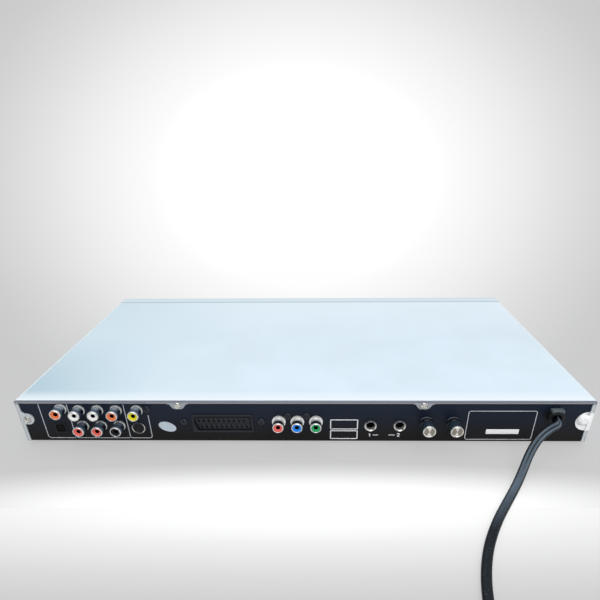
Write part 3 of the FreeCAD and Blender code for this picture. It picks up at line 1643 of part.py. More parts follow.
doc.recompute()
for item in doc.Objects:
    if "Invalid" in item.State or "Error" in item.State:
        raise ValueError(f"{item.Label} failed to build")
for before, after in cuts:
    if after.Shape.Volume > before.Shape.Volume - 0.01:
        raise ValueError(f"{after.Label} cuts nothing")
os.makedirs("parts", exist_ok=True)
for item in parts:
    if item.Shape.isNull() or not item.Shape.isValid():
        raise ValueError(f"{item.Label} has no valid shape")
for item in parts:
    item.Shape.exportStep(f"parts/{item.Label}.step")
print(len(parts), "sub-parts")
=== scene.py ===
"""Dresses a DVD player seen from behind: silver cover, black connector panel and captive mains cord.

Lengths in the classes are millimetres in the player's own frame: x along the panel, y towards the
rear, z up. They become metres when a mesh is made.
"""

import json
import logging
import math
from collections.abc import Callable, Sequence
from dataclasses import dataclass, field
from enum import Enum
from functools import partial
from itertools import accumulate

import bmesh
import bpy
from mathutils import Matrix, Vector

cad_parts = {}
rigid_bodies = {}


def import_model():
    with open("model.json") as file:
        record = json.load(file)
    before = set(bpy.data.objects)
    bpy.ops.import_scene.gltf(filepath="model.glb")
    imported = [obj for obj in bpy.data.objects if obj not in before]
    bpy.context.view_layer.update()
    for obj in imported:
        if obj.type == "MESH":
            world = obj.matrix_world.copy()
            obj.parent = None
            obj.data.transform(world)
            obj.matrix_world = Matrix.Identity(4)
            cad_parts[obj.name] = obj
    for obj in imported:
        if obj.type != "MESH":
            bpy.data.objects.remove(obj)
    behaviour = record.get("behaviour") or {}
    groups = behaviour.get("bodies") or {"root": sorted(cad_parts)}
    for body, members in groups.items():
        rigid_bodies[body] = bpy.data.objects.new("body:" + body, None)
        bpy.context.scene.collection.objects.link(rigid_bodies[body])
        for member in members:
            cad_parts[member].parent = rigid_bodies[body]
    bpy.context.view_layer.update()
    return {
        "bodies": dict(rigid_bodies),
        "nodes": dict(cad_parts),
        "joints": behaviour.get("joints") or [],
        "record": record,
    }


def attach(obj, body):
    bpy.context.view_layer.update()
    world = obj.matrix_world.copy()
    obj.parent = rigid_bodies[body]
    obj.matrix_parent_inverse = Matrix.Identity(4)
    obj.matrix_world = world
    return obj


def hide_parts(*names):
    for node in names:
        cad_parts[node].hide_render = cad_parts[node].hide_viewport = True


LOG = logging.getLogger("player")
MM = 0.001
TURN = 2 * math.pi
PANEL = 101.3  # the rear panel's face
LIP = 102.1  # the face of the cover's rear lip and ears
X, Y, Z, MAP = range(4)  # what a tint's ramp runs along; MAP is the mesh's own map, in thousandths
REAR = (Y, 101.2, 101.6)  # the cover's parts that face the rear
TOP = (Z, 40.2, 40.8)  # the cover's top
MOULDING_TOP = (Z, 40.3, 40.7)
# x spans of the painted shadow line under the cover's lip, between the tabs
LIP_SHADOW_SPANS = ((-82.0, -81.4, 85.4, 84.8), (100.2, 100.8, 212.6, 212.0), (-96.8, -97.4, -212.6, -212.0))
BLACK = (0.0, 0.0, 0.0, 1.0)

Point = tuple[float, float]
Spot = tuple[float, float, float]
Colour = tuple[int, int, int]
Ramp = tuple[int, float, float]
Socket = bpy.types.NodeSocket
Shape = bmesh.types.BMesh
Corners = list[bmesh.types.BMVert]
Piece = bpy.types.Object


# Finishes


class Grain(Enum):
    """The fine relief of a finish, as its noise's scale, detail and roughness."""

    SPRAYED = (2600.0, 2.0, 0.5)
    BRUSHED = (8.0, 3.0, 0.5)
    MOULDED = (1500.0, 4.0, 0.65)
    POLISHED = (420.0, 2.0, 0.5)
    TURNED = (900.0, 2.0, 0.5)
    PRINTED = (3200.0, 3.0, 0.5)


def linear(colour: Colour) -> tuple[float, ...]:
    """Turns a screen's 0 to 255 colour into the renderer's linear values, with a full alpha."""
    shares = [step / 255 for step in colour]
    return (*[s / 12.92 if s <= 0.04045 else ((s + 0.055) / 1.055) ** 2.4 for s in shares], 1.0)


class Nodes:
    """A node tree, with short ways to add and join nodes."""

    def __init__(self, tree: bpy.types.NodeTree) -> None:
        """Keeps the tree."""
        self.tree = tree

    def give(self, node: bpy.types.Node, name: str | int, value: object) -> None:
        """Sets one input to a value, or joins a socket to it.

        Args:
            node: The node that takes it.
            name: The input's name or number.
            value: A number, a colour or another node's output.
        """
        if isinstance(value, Socket):
            self.tree.links.new(value, node.inputs[name])
        else:
            node.inputs[name].default_value = value

    def add(self, kind: str, **inputs: object) -> bpy.types.Node:
        """Adds a node and fills its inputs.

        Args:
            kind: The node's class name.
            inputs: Socket names, with underscores for spaces, and a value or a socket to join.

        Returns:
            The new node.
        """
        node = self.tree.nodes.new(kind)
        for name, value in inputs.items():
            self.give(node, name.replace("_", " "), value)
        return node

    def calc(
        self, kind: str, values: dict[int, object], output: str | int = 0, **settings: object
    ) -> Socket:
        """Adds a node with settings, and fills its inputs by number.

        Args:
            kind: The node's class name.
            values: Values or sockets by input number.
            output: The output that is wanted.
            settings: The node's own settings.

        Returns:
            The output's socket.
        """
        node = self.tree.nodes.new(kind)
        for name, value in settings.items():
            setattr(node, name, value)
        for slot, value in values.items():
            self.give(node, slot, value)
        return node.outputs[output]

    def math(self, operation: str, first: object, second: object = 0.0, clamp: bool = False) -> Socket:
        """Gives a Math node's answer."""
        return self.calc("ShaderNodeMath", {0: first, 1: second}, operation=operation, use_clamp=clamp)

    def vector(
        self, operation: str, first: object, second: object = (0, 0, 0), output: str | int = 0
    ) -> Socket:
        """Gives a Vector Math node's answer."""
        return self.calc("ShaderNodeVectorMath", {0: first, 1: second}, output, operation=operation)

    def blend(self, share: object, first: object, second: object) -> Socket:
        """Mixes two colours, by the share of the second one."""
        return self.calc("ShaderNodeMix", {0: share, 6: first, 7: second}, 2, data_type="RGBA")

    def span(
        self, value: object, low: float, high: float, start: float = 0.0, end: float = 1.0
    ) -> Socket:
        """Maps a value so that start gives low and end gives high, held beyond them."""
        return self.calc("ShaderNodeMapRange", {0: value, 1: start, 2: end, 3: low, 4: high})

    def noise(self, where: object, scale: float, detail: float = 2.0, rough: float = 0.5) -> Socket:
        """Gives a noise texture of so many waves a metre."""
        made = self.add("ShaderNodeTexNoise", Vector=where, Scale=scale, Detail=detail, Roughness=rough)
        return made.outputs[0]

    def split(self, where: object) -> list[Socket]:
        """Gives a vector's three numbers."""
        return [*self.add("ShaderNodeSeparateXYZ", Vector=where).outputs]

    def ramp(self, steps: Sequence[tuple[float, int]], place: object) -> Socket:
        """Adds a colour ramp of greys.

        Args:
            steps: Each stop's place and its grey, from 0 to 255.
            place: The socket that runs along it.

        Returns:
            The grey's socket.
        """
        node = self.add("ShaderNodeValToRGB", Fac=place)
        held = node.color_ramp.elements
        while len(held) < len(steps):
            held.new(0.5)
        for stop, (at, grey) in zip(held, steps):
            stop.position, stop.color = at, linear((grey, grey, grey))
        return node.outputs[0]


@dataclass(frozen=True)
class Finish:
    """One surface finish: its colour, gloss and fine relief.

    A tint is a colour, and the ramps past which it takes over. A ramp names what it runs along, and
    where it starts and ends.
    """

    name: str
    colour: Colour
    roughness: float = 0.45
    shade: float = 0.10
    relief: float = 0.12
    metallic: float = 0.0
    grain: Grain = Grain.MOULDED
    spread: float = 0.10
    coat: float = 0.0
    tints: tuple[tuple[Colour | Ramp, ...], ...] = ()
    # Lighter specks: wear and mottling, and on the cord painted broken highlights.
    wear_and_sheen: float = 0.0
    specular: float = 0.5
    groove: float = 0.13
    lean: float = 0.34
    # How far along a turned face's profile its painted reflection wedge fades in; 0 leaves it off.
    fan: float = 0.0

    def material(self) -> bpy.types.Material:
        """Builds the finish's material, once.

        Returns:
            The material, with colour, gloss and relief from its own nodes.
        """
        label = f"{self.name}_finish"
        ready = bpy.data.materials.get(label)
        if ready is not None:
            return ready
        made = bpy.data.materials.new(label)
        made.use_nodes = True
        tree = Nodes(made.node_tree)
        shader = made.node_tree.nodes["Principled BSDF"]
        tree.give(shader, "Metallic", self.metallic)
        tree.give(shader, "Coat Weight", self.coat)
        tree.give(shader, "Coat Roughness", 0.12)
        tree.give(shader, "Specular IOR Level", self.specular)
        where = tree.add("ShaderNodeTexCoord").outputs["Object"]
        broad, middle = tree.noise(where, 22.0, 3.0), tree.noise(where, 190.0, 4.0, 0.6)
        tree.give(shader, "Base Color", self.paint(tree, where, broad))
        gloss = tree.math("ADD", tree.math("MULTIPLY", broad, 0.6), tree.math("MULTIPLY", middle, 0.4))
        low, high = max(0.03, self.roughness - self.spread), min(1.0, self.roughness + self.spread)
        tree.give(shader, "Roughness", tree.span(gloss, low, high, 0.32, 0.68))
        tree.give(shader, "Normal", self.bump(tree, where))
        return made

    def paint(self, tree: Nodes, where: Socket, broad: Socket) -> Socket:
        """Builds the colour: two shades that drift, tints of painted light and shade, specks of wear and
        of painted sheen, and a painted reflection wedge.

        Args:
            tree: The material's nodes.
            where: The coordinates.
            broad: Slow noise.

        Returns:
            The colour's socket.
        """
        base = linear(self.colour)[:3]
        dark = (*[part * (1 - self.shade) for part in base], 1.0)
        pale = (*[min(1.0, part * (1 + self.shade)) for part in base], 1.0)
        colour = tree.blend(tree.span(broad, 0.0, 1.0, 0.35, 0.65), dark, pale)
        if self.tints:
            parts = tree.split(where) + tree.split(tree.add("ShaderNodeUVMap").outputs[0])
        for tint, *ramps in self.tints:
            shown = 1.0
            for axis, start, end in ramps:
                step = tree.span(parts[axis], 0.0, 1.0, start * MM, end * MM)
                shown = tree.math("MULTIPLY", shown, step)
            colour = tree.blend(shown, colour, linear(tint))
        # Lighter specks: wear and mottling on most finishes, a painted broken highlight on the cord.
        if self.wear_and_sheen:
            specks = tree.span(tree.noise(where, 900.0, 6.0, 0.7), 0.0, self.wear_and_sheen, 0.60, 0.72)
            colour = tree.blend(specks, colour, (*[min(1.0, part * 1.5 + 0.03) for part in base], 1.0))
        # A painted reflection wedge on turned faces.
        if self.fan:
            colour = tree.blend(self.painted_reflection_wedge(tree), colour, linear((124, 118, 104)))
        return colour

    def painted_reflection_wedge(self, tree: Nodes) -> Socket:
        """Paints a reflection: leaves a bright wedge above and below the middle of a turned face, and
        paints its sides duller.

        Args:
            tree: The material's nodes, on a mesh whose map holds the turn and the way outwards.

        Returns:
            The socket of how much painted dullness each place gets.
        """
        turn, out, _ = tree.split(tree.add("ShaderNodeUVMap").outputs[0])
        ray = tree.math("ABSOLUTE", tree.math("SINE", tree.math("MULTIPLY", turn, TURN)))
        side = tree.span(tree.math("POWER", ray, 9.0), 1.0, 0.0, 0.15, 0.75)
        return tree.math("MULTIPLY", side, tree.span(out, 0.0, 0.9, self.fan, self.fan + 0.25))

    def bump(self, tree: Nodes, where: Socket) -> Socket:
        """Builds the fine relief that the finish's grain asks for.

        Args:
            tree: The material's nodes.
            where: The coordinates.

        Returns:
            The bent normal's socket.
        """
        if self.grain is Grain.BRUSHED:
            where = tree.add("ShaderNodeMapping", Vector=where, Scale=(12.0, 1.0, 600.0)).outputs[0]
        height = tree.noise(where, *self.grain.value)
        node = tree.add("ShaderNodeBump", Height=height, Strength=self.relief, Distance=0.0004)
        if self.grain is Grain.TURNED:
            tree.give(node, "Normal", self.grooved(tree))
        return node.outputs[0]

    def grooved(self, tree: Nodes) -> Socket:
        """Leans the normal in and out across the fine rings that a lathe leaves.

        Args:
            tree: The material's nodes, on a mesh whose map holds the turn and the way outwards.

        Returns:
            The leaning normal's socket.
        """
        turn, out, _ = tree.split(tree.add("ShaderNodeUVMap").outputs[0])
        wave = tree.math("SINE", tree.math("MULTIPLY", out, TURN / self.groove))
        lean, angle = tree.math("MULTIPLY", wave, self.lean), tree.math("MULTIPLY", turn, TURN)
        across = tree.math("MULTIPLY", tree.math("COSINE", angle), lean)
        up = tree.math("MULTIPLY", tree.math("SINE", angle), lean)
        way = tree.add("ShaderNodeCombineXYZ", X=across, Z=up).outputs[0]
        to_world = {"vector_type": "VECTOR", "convert_from": "OBJECT", "convert_to": "WORLD"}
        world = tree.calc("ShaderNodeVectorTransform", {0: way}, **to_world)
        plain = tree.add("ShaderNodeNewGeometry").outputs["Normal"]
        return tree.vector("NORMALIZE", tree.vector("ADD", plain, world))


PAINT = {"grain": Grain.SPRAYED}
INK = {"grain": Grain.PRINTED}
METAL = {"grain": Grain.POLISHED}
PLATE = {"grain": Grain.POLISHED, "spread": 0.06}


class Finishes:
    """Every finish of the player."""

    COVER = Finish(
        "cover_paint", (222, 238, 249), 0.36, 0.02, 0.05, 0.12, spread=0.06, **PAINT,
        tints=(
            # Painted light and shade on the top: lighter towards the front, darker towards +x, and
            # darkest at the rear +x corner.
            ((232, 246, 255), (Y, -10.0, -105.0), TOP),
            ((214, 234, 244), (X, 60.0, 215.0), TOP),
            ((176, 204, 217), (X, 120.0, 235.0), (Y, -10.0, 80.0), TOP),
            # A painted highlight along the top's rear edge.
            ((238, 248, 254), (Y, 88.0, 100.0), TOP),
            # Painted highlight lines along the top's side edges.
            ((238, 248, 253), (X, 212.2, 213.2), (Z, 40.0, 40.5)),
            ((238, 248, 253), (X, -212.2, -213.2), (Z, 40.0, 40.5)),
            # The rear-facing lip, tabs and ears are painted greyer than the top as painted shade, darkest
            # towards the lip's top.
            ((202, 207, 211), REAR),
            ((160, 166, 174), REAR, (Z, 28.0, 32.0), (X, -196.0, -192.0), (X, 196.0, 192.0)),
            ((158, 160, 168), REAR, (Z, 37.2, 38.4)),
            ((124, 132, 143), REAR, (Z, 38.8, 40.4)),
            # A painted shadow line along the lip's lower edge, between the tabs.
            *(
                ((18, 22, 29), REAR, (Z, 38.78, 38.58), (Z, 37.88, 37.95), (X, *ends[:2]), (X, *ends[2:]))
                for ends in LIP_SHADOW_SPANS
            ),
        ),
    )
    PANEL_BLACK = Finish(
        "panel_black", (24, 22, 23), 0.44, 0.20, 0.10, specular=0.16, **PAINT,
        # Bluish towards the top: a painted reflection on the black panel.
        tints=(((22, 35, 52), (Z, 8.0, 36.0)),),
    )
    STEEL = Finish("plated_steel", (196, 198, 196), 0.36, 0.10, 0.10, 1.0, spread=0.12, **METAL)
    BEZEL = Finish(
        "bezel_silver", (200, 211, 219), 0.34, 0.03, 0.06, 0.2, spread=0.06, **PAINT,
        tints=(
            # Painted light and shade on the moulding's top: paler like the cover's lit top, darker again
            # towards the cover and at the front edge.
            ((222, 238, 247), MOULDING_TOP),
            ((186, 203, 213), (Y, -100.9, -99.9), MOULDING_TOP),
            ((184, 201, 212), (Y, -110.0, -111.2), MOULDING_TOP),
        ),
    )
    WINDOW = Finish("window_smoke", (16, 17, 21), 0.10, 0.20, 0.02, spread=0.04, coat=0.6, **METAL)
    RUBBER = Finish("foot_rubber", (30, 30, 31), 0.78, 0.16, 0.30, spread=0.08, wear_and_sheen=0.3)
    NICKEL_SCREW = Finish("screw_nickel", (222, 222, 216), 0.24, 0.12, 0.12, 0.9, wear_and_sheen=0.2, **METAL)
    BLACK_SCREW = Finish("screw_black", (54, 57, 66), 0.30, 0.16, 0.10, 0.5, spread=0.08, **METAL)
    BARREL = Finish(
        "nickel_barrel", (236, 236, 234), 0.20, 0.05, 0.05, 0.55, **PLATE,
        tints=(
            # Painted reflection and highlight: a dark blue-grey middle for the black panel mirrored in
            # the plating, and paler tops near the flange.
            ((96, 112, 134), (Y, 102.42, 102.6), (Y, 109.4, 109.0)),
            ((34, 44, 60), (Y, 103.2, 104.2), (Y, 107.6, 106.4)),
            ((176, 190, 202), (Y, 102.5, 102.8), (Y, 107.0, 105.4), (Z, 34.2, 35.8)),
            ((140, 156, 172), (Y, 102.5, 102.8), (Y, 107.0, 105.4), (Z, 20.2, 21.8), (Z, 27.0, 26.0)),
        ),
    )
    WIDE_BARREL = Finish(
        "bright_barrel", (238, 238, 236), 0.20, 0.05, 0.05, 0.50, **PLATE,
        # A dark band towards the mouth: painted reflection on the plating.
        tints=(((24, 42, 54), (Y, 105.4, 106.2), (Y, 109.4, 108.8)),),
    )
    FERRULE = Finish(
        "nickel_ferrule", (232, 230, 224), 0.20, 0.05, 0.05, 0.8, **PLATE,
        # Darker towards the top: painted shade.
        tints=(((112, 116, 122), (Z, 19.0, 23.0)),),
    )
    SHADED = Finish(
        "nickel_ring_painted_shade", (226, 222, 214), 0.18, 0.05, 0.05, 1.0, **PLATE,
        # Darker on the upper half: painted shade.
        tints=(((84, 92, 106), (Z, 15.6, 20.4)),),
    )
    NICKEL = Finish("nickel", (222, 220, 216), 0.16, 0.05, 0.05, 1.0, **PLATE)
    WHITE = Finish("insert_white", (244, 243, 240), 0.32, 0.03, 0.05)
    ORANGE = Finish("insert_orange", (240, 122, 66), 0.34, 0.05, 0.05)
    RED = Finish("insert_red", (238, 100, 88), 0.34, 0.05, 0.05)
    YELLOW = Finish("insert_yellow", (238, 226, 10), 0.34, 0.04, 0.05)
    BLUE = Finish("insert_blue", (0, 136, 240), 0.34, 0.05, 0.05)
    GREEN = Finish("insert_green", (4, 166, 96), 0.34, 0.05, 0.05)
    MOULDING = Finish("moulding_black", (18, 20, 24), 0.40, 0.14, 0.10, specular=0.28)
    WIDE_SOCKET = Finish("wide_socket_black", (28, 31, 38), 0.42, 0.14, specular=0.32)
    # Much paler than the black moulding: a painted highlight for light on the latch's top; its specks are
    # wear.
    LATCH = Finish("latch_painted_sheen_and_wear", (82, 92, 96), 0.34, 0.16, 0.10, wear_and_sheen=0.4)
    # Near black: on the insert-hole liners this is painted shade; the optical door is black moulding.
    HOLE = Finish("hole_shade_and_door_black", (8, 9, 11), 0.60, 0.14, 0.08, specular=0.12)
    KNOB = Finish(
        "knob_black", (40, 52, 62), 0.26, 0.12, 0.06, coat=0.3,
        tints=(
            # A painted highlight on the top of the base's rim, and a painted shade band round the neck
            # between the base and the grip.
            ((126, 126, 136), (Y, 103.1, 102.7), (Z, 23.0, 26.0)),
            ((14, 16, 22), (Y, 103.0, 103.4), (Y, 106.1, 105.5)),
        ),
    )
    # fan paints a reflection on the cap: a bright wedge above and below its middle, with duller sides.
    KNOB_CAP = Finish(
        "knob_cap", (240, 238, 232), 0.22, 0.06, 0.35, 0.8, Grain.TURNED, spread=0.06, lean=0.2, fan=6.7
    )
    CORD = Finish(
        "cord_pvc", (84, 98, 110), 0.32, 0.40, 0.16, spread=0.18, specular=0.20, wear_and_sheen=0.6,
        # Painted light and shade: the pale bluish base stands for the lit middle; the tints paint shade
        # along the far run, in the groove near the exit and at the edges.
        tints=(
            ((22, 29, 36), (Y, 150.0, 185.0)),
            ((10, 14, 19), (MAP, 260.0, 80.0), (Y, 142.0, 126.0)),
            ((6, 8, 11), (MAP, 520.0, 860.0)),
        ),
    )
    PLUG = Finish("plug_black", (28, 28, 31), 0.44, 0.12, 0.14)
    GREEN_BOARD = Finish("board_green", (26, 84, 52), 0.40, 0.14, 0.10, coat=0.3, **PAINT)
    BROWN_BOARD = Finish("board_brown", (142, 104, 62), 0.56, 0.12, **PAINT)
    CHIP = Finish("chip_black", (34, 34, 36), 0.52, **PAINT)
    WINDING = Finish("transformer", (92, 76, 52), 0.48, 0.16, 0.30, 0.2, Grain.BRUSHED)
    CAPACITOR = Finish("capacitor", (30, 42, 66), 0.32, 0.10, 0.05)
    LOADER = Finish("loader_black", (36, 36, 38), 0.48, 0.12, 0.16)
    TRAY = Finish("tray_grey", (70, 72, 76), 0.46, 0.08, 0.14)
    GEAR = Finish("gear_white", (226, 224, 214), 0.38, 0.05, 0.08)
    BELT = Finish("belt_rubber", (26, 25, 25), 0.66, 0.14, 0.18)
    MOTOR = Finish("motor_can", (176, 178, 180), 0.30, 0.10, 0.14, 1.0, Grain.BRUSHED)
    CLAMPER = Finish("clamper_white", (222, 220, 214), 0.40, 0.05, 0.10)
    PRINT = Finish("panel_print", (206, 210, 216), 0.56, 0.10, 0.16, **INK)
    WHITE_PRINT = Finish("bold_print", (244, 247, 252), 0.56, 0.05, 0.16, **INK)
    SEAL = Finish("seal_paper", (254, 254, 254), 0.50, 0.01, 0.10, **INK)
    OVAL = Finish("label_film", (198, 212, 222), 0.34, 0.14, 0.14, wear_and_sheen=0.9, **INK)
    # Far darker than tin: painted shade for the contacts deep in the slots.
    CONTACT = Finish("contact_tin_painted_shade", (74, 72, 66), 0.34, 0.12, 0.08, 1.0, **METAL)


# Mesh tools


def show(name: str, held: bpy.types.ID) -> Piece:
    """Makes an object of a mesh, lamp, camera or curve, and links it to the scene."""
    made = bpy.data.objects.new(name, held)
    return bpy.context.scene.collection.objects.link(made) or made


def drawn(name: str, finish: Finish, draw: Callable[[Shape], object], crease: float = 32.0) -> Piece:
    """Draws a piece in millimetres and makes it in metres.

    Args:
        name: The piece's name.
        finish: What it is finished in.
        draw: Draws its shape.
        crease: Edges sharper than this many degrees stay sharp.

    Returns:
        The new object, at the origin.
    """
    shape = bmesh.new()
    draw(shape)
    bmesh.ops.remove_doubles(shape, verts=shape.verts, dist=1e-4)
    bmesh.ops.dissolve_degenerate(shape, dist=1e-5, edges=shape.edges)
    bmesh.ops.recalc_face_normals(shape, faces=shape.faces)
    for face in shape.faces:
        face.smooth = True
    for edge in shape.edges:
        if len(edge.link_faces) == 2:
            edge.smooth = edge.calc_face_angle(0.0) < math.radians(crease)
    bmesh.ops.scale(shape, vec=(MM, MM, MM), verts=shape.verts)
    mesh = bpy.data.meshes.new(name)
    shape.to_mesh(mesh)
    shape.free()
    mesh.materials.append(finish.material())
    return show(name, mesh)


def turned(
    shape: Shape,
    profile: Sequence[Point],
    centre: Point = (0.0, 0.0),
    sides: int = 72,
    closed: bool = False,
) -> None:
    """Adds a body of revolution whose axis runs along y.

    Args:
        shape: The shape that it joins.
        profile: Points as (radius, y), in order round the outside.
        centre: The axis's x and z.
        sides: How many sides the round has.
        closed: Whether the profile's last point joins its first.
    """
    layer = shape.loops.layers.uv.verify()
    steps = (math.dist(before, after) for before, after in zip(profile, profile[1:]))
    travel = [*accumulate(steps, initial=0.0)]
    (x, z), rings = centre, []
    for radius, depth in profile:
        turns = [TURN * step / sides for step in range(sides if radius else 1)]
        places = [(x + radius * math.cos(turn), depth, z + radius * math.sin(turn)) for turn in turns]
        rings.append([shape.verts.new(place) for place in places])
    pairs = [(k, k + 1) for k in range(len(rings) - 1)] + [(len(rings) - 1, 0)] * closed
    for low, high in pairs:
        for step in range(sides):
            corners = {}
            for ring, at in ((low, step), (low, step + 1), (high, step + 1), (high, step)):
                corners.setdefault(rings[ring][at % len(rings[ring])], (at / sides, travel[ring]))
            if len(corners) > 2:
                for loop in shape.faces.new([*corners]).loops:
                    loop[layer].uv = corners[loop.vert]


def fan(shape: Shape, hub: bmesh.types.BMVert, ring: Corners) -> None:
    """Fills a ring with triangles that meet at its hub."""
    for here, there in zip(ring, ring[1:] + ring[:1]):
        shape.faces.new((hub, there, here))


def bridge(shape: Shape, loops: Sequence[Corners]) -> list[bmesh.types.BMFace]:
    """Joins each loop of corners to the next with walls.

    Args:
        shape: The shape that they are in.
        loops: The loops, all with as many corners.

    Returns:
        The walls, in order round each pair.
    """
    faces = []
    for first, second in zip(loops, loops[1:]):
        for step in range(len(first)):
            after = (step + 1) % len(first)
            faces.append(shape.faces.new((first[step], first[after], second[after], second[step])))
    return faces


def stacked(
    shape: Shape, levels: Sequence[tuple[Sequence[Point], float]], shut: bool = True
) -> list[bmesh.types.BMFace]:
    """Adds a body whose outline changes along y, closed at its end.

    Args:
        shape: The shape that it joins.
        levels: Each outline of (x, z) corners, and its depth.
        shut: Whether the first outline is closed too.

    Returns:
        Its faces.
    """
    loops = [[shape.verts.new((x, depth, z)) for x, z in outline] for outline, depth in levels]
    caps = [loops[-1]] + [loops[0][::-1]] * shut
    return bridge(shape, loops) + [shape.faces.new(cap) for cap in caps]


def slab(shape: Shape, outline: Sequence[Point], near: float, far: float, round_off: float = 0.0) -> None:
    """Adds a plate: an outline in x and z, between two depths along y.

    Args:
        shape: The shape that it joins.
        outline: The corners as (x, z).
        near: The depth of one face.
        far: The depth of the other face.
        round_off: The width that its edges are rounded by.
    """
    faces = stacked(shape, ((outline, far), (outline, near)))
    if round_off:
        bmesh.ops.recalc_face_normals(shape, faces=faces)
        edges = {edge for face in faces for edge in face.edges if edge.calc_face_angle(0.0) > 0.6}
        look = {"segments": 2, "affect": "EDGES", "profile": 0.6, "clamp_overlap": True}
        bmesh.ops.bevel(shape, geom=[*edges], offset=round_off, **look)


def plates(name: str, finish: Finish, *given: tuple) -> Piece:
    """Makes a piece of slabs, each given as slab takes it."""
    return drawn(name, finish, lambda shape: [slab(shape, *plate) for plate in given])


def rounded(
    left: float, low: float, right: float, high: float, radius: float, steps: int = 5
) -> list[Point]:
    """Draws a rectangle with round corners.

    Args:
        left: Its lowest x.
        low: Its lowest z.
        right: Its highest x.
        high: Its highest z.
        radius: The corners' radius.
        steps: How many sides a corner has.

    Returns:
        Its points, anticlockwise.
    """
    corners = [(right - radius, high - radius), (left + radius, high - radius)]
    corners += [(left + radius, low + radius), (right - radius, low + radius)]
    points = []
    for number, (x, z) in enumerate(corners):
        for step in range(steps + 1):
            turn = math.pi / 2 * (number + step / steps)
            points.append((x + radius * math.cos(turn), z + radius * math.sin(turn)))
    return points


def sheet(
    shape: Shape,
    centre: Point,
    reaches: Sequence[float],
    sides: int,
    level: Callable[[float, float], float],
) -> Corners:
    """Adds a round sheet of rings that faces along y.

    Args:
        shape: The shape that it joins.
        centre: Its middle's x and z.
        reaches: The rings' radii.
        sides: How many sides it has.
        level: Gives its depth at an x and z.

    Returns:
        The corners of its edge.
    """
    x, z = centre
    hub, loops = shape.verts.new((x, level(x, z), z)), []
    for reach in reaches:
        turns = [TURN * step / sides for step in range(sides)]
        spots = [(x + reach * math.cos(turn), z + reach * math.sin(turn)) for turn in turns]
        loops.append([shape.verts.new((px, level(px, pz), pz)) for px, pz in spots])
    fan(shape, hub, loops[0])
    bridge(shape, loops)
    return loops[-1]


# Trees that repeat a shape or follow a path


class Tree(Nodes):
    """A Geometry Nodes tree with named inputs, run once on a carrier mesh."""

    def __init__(self, name: str, **inputs: str) -> None:
        """Makes the tree and its inputs.

        Args:
            name: The tree's name.
            inputs: Each input's name, and the last word of its socket's type.
        """
        super().__init__(bpy.data.node_groups.new(name, "GeometryNodeTree"))
        self.keys = {}
        face = self.tree.interface
        for label, kind in {"Geometry": "Geometry", **inputs, "Finish": "Material"}.items():
            made = face.new_socket(label, in_out="INPUT", socket_type=f"NodeSocket{kind}")
            self.keys[label] = made.identifier
        face.new_socket("Geometry", in_out="OUTPUT", socket_type="NodeSocketGeometry")
        self.start = self.add("NodeGroupInput").outputs

    def finish(self, geometry: Socket) -> None:
        """Ends the tree in Realize Instances and Set Material.

        Args:
            geometry: The socket that holds the made geometry.
        """
        real = self.add("GeometryNodeRealizeInstances", Geometry=geometry).outputs[0]
        dressed = self.add("GeometryNodeSetMaterial", Geometry=real, Material=self.start["Finish"])
        self.add("NodeGroupOutput", Geometry=dressed.outputs[0])

    def run(self, name: str, carrier: bpy.types.Mesh, **values: object) -> Piece:
        """Runs the tree on a carrier mesh and keeps the result as a plain mesh.

        Args:
            name: The new piece's name.
            carrier: The points or edges that the tree works on.
            values: The inputs' values by name.

        Returns:
            The piece, with no modifier left.
        """
        holder = show(name + "_carrier", carrier)
        modifier = holder.modifiers.new("tree", "NODES")
        modifier.node_group = self.tree
        for label, value in values.items():
            modifier[self.keys[label]] = value
        scene_view = bpy.context.evaluated_depsgraph_get()
        mesh = bpy.data.meshes.new_from_object(holder.evaluated_get(scene_view))
        mesh.name = name
        bpy.data.objects.remove(holder)
        return show(name, mesh)


def repeat_tree() -> Tree:
    """Builds the tree that sets copies of a unit on points, each turned about y at random.

    Returns:
        The tree.
    """
    tree = Tree("set_copies", Unit="Object", Turn="Float", Seed="Int", Size="Float")
    start = tree.start
    unit = tree.add("GeometryNodeObjectInfo", Object=start["Unit"]).outputs["Geometry"]
    turn = tree.add("FunctionNodeRandomValue", Seed=start["Seed"])
    turn.data_type = "FLOAT"
    tree.give(turn, 3, start["Turn"])
    about = tree.add("ShaderNodeCombineXYZ", Y=turn.outputs[1]).outputs[0]
    spin = tree.add("FunctionNodeEulerToRotation", Euler=about).outputs[0]
    points = {"Points": start["Geometry"], "Instance": unit, "Rotation": spin, "Scale": start["Size"]}
    tree.finish(tree.add("GeometryNodeInstanceOnPoints", **points).outputs[0])
    return tree


def stroke_tree() -> Tree:
    """Builds the tree that draws a printed line along edges, with round corners.

    Returns:
        The tree.
    """
    tree = Tree("draw_line", Width="Float", Corner="Float")
    wide = tree.start["Width"]
    path = tree.add("GeometryNodeMeshToCurve", Mesh=tree.start["Geometry"]).outputs[0]
    soft = tree.add("GeometryNodeFilletCurve", Curve=path, Radius=tree.start["Corner"], Limit_Radius=True)
    soft.mode = "POLY"
    tree.give(soft, "Count", 6)
    section = tree.add("GeometryNodeCurvePrimitiveQuadrilateral", Width=wide, Height=wide).outputs[0]
    line = {"Curve": soft.outputs[0], "Profile Curve": section, "Fill Caps": True}
    tree.finish(tree.add("GeometryNodeCurveToMesh", **line).outputs[0])
    return tree


